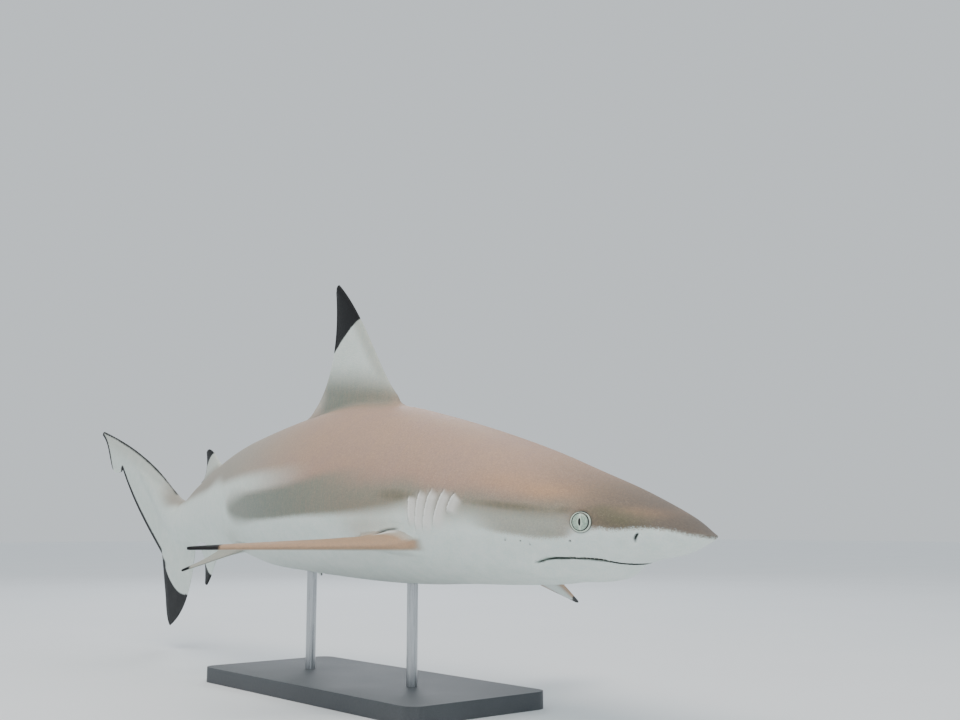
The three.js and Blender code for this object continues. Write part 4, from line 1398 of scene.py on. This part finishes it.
# Share of the width and of the length, from a tooth's root to its point.
TOOTH_PROFILE = [(0.5, 0), (0.34, 0.3), (0.17, 0.62), (0.05, 0.9), (0, 1)]


def tooth_points(station, side):
    """Rings of points from a tooth's root, hidden behind the lip, down to its point."""
    height = float(mouth_height(station))
    lip, ahead, behind = (np.array(flank_point(station + s, height, side)) for s in (0, -0.05, 0.05))
    along = (ahead - behind) / np.linalg.norm(ahead - behind)
    inward = np.array((0, -side, 0)) - along * (-side * along[1])
    inward /= np.linalg.norm(inward)
    root, down = lip + inward * 0.16 + (0, 0, 0.2), np.array((0, 0, -TOOTH_LENGTH))
    turn = np.linspace(0, 2 * math.pi, TOOTH_SIDES, endpoint=False)[:, None]
    around = along * TOOTH_WIDTH * np.cos(turn) + inward * TOOTH_THICKNESS * np.sin(turn)
    return [tuple(point) for half, run in TOOTH_PROFILE for point in root + around * half + down * run]


def make_teeth():
    """The upper teeth that stand in the slit of the mouth."""
    points, faces = [], []
    for side in (1, -1):
        for station in np.linspace(FIRST_TOOTH, LAST_TOOTH, TEETH_PER_SIDE):
            first = len(points)
            cap = tuple(range(first, first + TOOTH_SIDES))
            faces += [*ring_sides(len(TOOTH_PROFILE), TOOTH_SIDES, first), cap]
            points += tooth_points(station, side)
    mesh = bpy.data.meshes.new("teeth_upper")
    mesh.from_pydata(points, [], faces)
    clean(mesh, merge=0.002)
    straight = coordinates(mesh)
    set_field(mesh, "rest", straight)
    set_points(mesh, place(straight))
    mesh.shade_smooth()
    mesh.materials.append(tooth_paint())
    return add_object("teeth_upper", mesh)


FLESH = [
    "head", "lower_jaw", "gill_region", "trunk", "rear_trunk", "tail_stalk", "first_dorsal_fin",
    "second_dorsal_fin", "anal_fin", "tail_fin_upper_lobe", "tail_fin_lower_lobe",
    "pectoral_fin_left", "pectoral_fin_right", "pelvic_fin_left", "pelvic_fin_right",
]

skin = finish_skin()
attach(skin, "root")
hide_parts(*FLESH)

eye_material = eye_paint()
for node, side_sign in (("eye_left", 1), ("eye_right", -1)):
    eye = make_eye(node + "_ball", side_sign)
    eye.data.materials.append(eye_material)
    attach(eye, "root")
    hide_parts(node)

teeth = make_teeth()
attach(teeth, "root")

steel = steel_paint()
for node in ("stand_rod_front", "stand_rod_rear"):
    nodes[node].data.materials.clear()
    nodes[node].data.materials.append(steel)
base = nodes["stand_base"]
base.data.materials.clear()
base.data.materials.append(stand_paint())
rounding = base.modifiers.new("edge", "BEVEL")
rounding.width = 0.0015
rounding.segments = 3
rounding.limit_method = "ANGLE"


# ---------------------------------------------------------------- studio

floor_mesh = bpy.data.meshes.new("floor")
FLOOR_HALF = 12
corners = [(-1, -1), (1, -1), (1, 1), (-1, 1)]
floor_mesh.from_pydata([(x * FLOOR_HALF, y * FLOOR_HALF, 0) for x, y in corners], [], [(0, 1, 2, 3)])
floor_mesh.materials.append(floor_paint())
floor = add_object("studio_floor", floor_mesh)

world = bpy.data.worlds.new("studio")
world.use_nodes = True
background = world.node_tree.nodes["Background"].inputs
background["Color"].default_value = colour("e2e9ee")
background["Strength"].default_value = 0.93
bpy.context.scene.world = world


def area_light(name, position, target, size, power, tint):
    light = bpy.data.lights.new(name, "AREA")
    light.shape = "DISK"
    light.size = size
    light.energy = power
    light.color = colour(tint)[:3]
    obj = add_object(name, light)
    obj.location = position
    obj.rotation_euler = (Vector(target) - Vector(position)).to_track_quat("-Z", "Y").to_euler()


BODY_MIDDLE = (0.2, 0, 0.2)
sky = bpy.data.lights.new("sky", "SUN")
sky.energy = 0.35
sky.angle = math.radians(90)
add_object("sky", sky)
area_light("key", (0.7, -0.8, 2.3), BODY_MIDDLE, 1.8, 31, "fff4e8")
area_light("fill", (2.3, -1.2, 0.9), BODY_MIDDLE, 1.6, 6, "eef6ff")
area_light("rim", (-1.8, 1.4, 1.6), BODY_MIDDLE, 1.2, 14, "f4f8ff")

# Where the camera stands from the backbone's point at the shoulder.
SHOULDER_STATION = 30
CAMERA_FROM_SHOULDER = np.array([1.05405, -0.7681, -0.02482])
CAMERA_AZIMUTH, CAMERA_RISE = 50, 8.15
FOCAL_PIXELS, IMAGE_WIDTH, SENSOR = 1156, 960, 36

camera_data = bpy.data.cameras.new("camera")
camera_data.sensor_width = SENSOR
camera_data.lens = FOCAL_PIXELS / IMAGE_WIDTH * SENSOR
camera_data.clip_start = 0.02
camera_data.clip_end = 60
camera = add_object("camera", camera_data)
camera.location = place([[-SHOULDER_STATION, 0, 0]])[0] + CAMERA_FROM_SHOULDER
camera.rotation_euler = (math.radians(90 + CAMERA_RISE), 0, math.radians(CAMERA_AZIMUTH))
bpy.context.scene.camera = camera
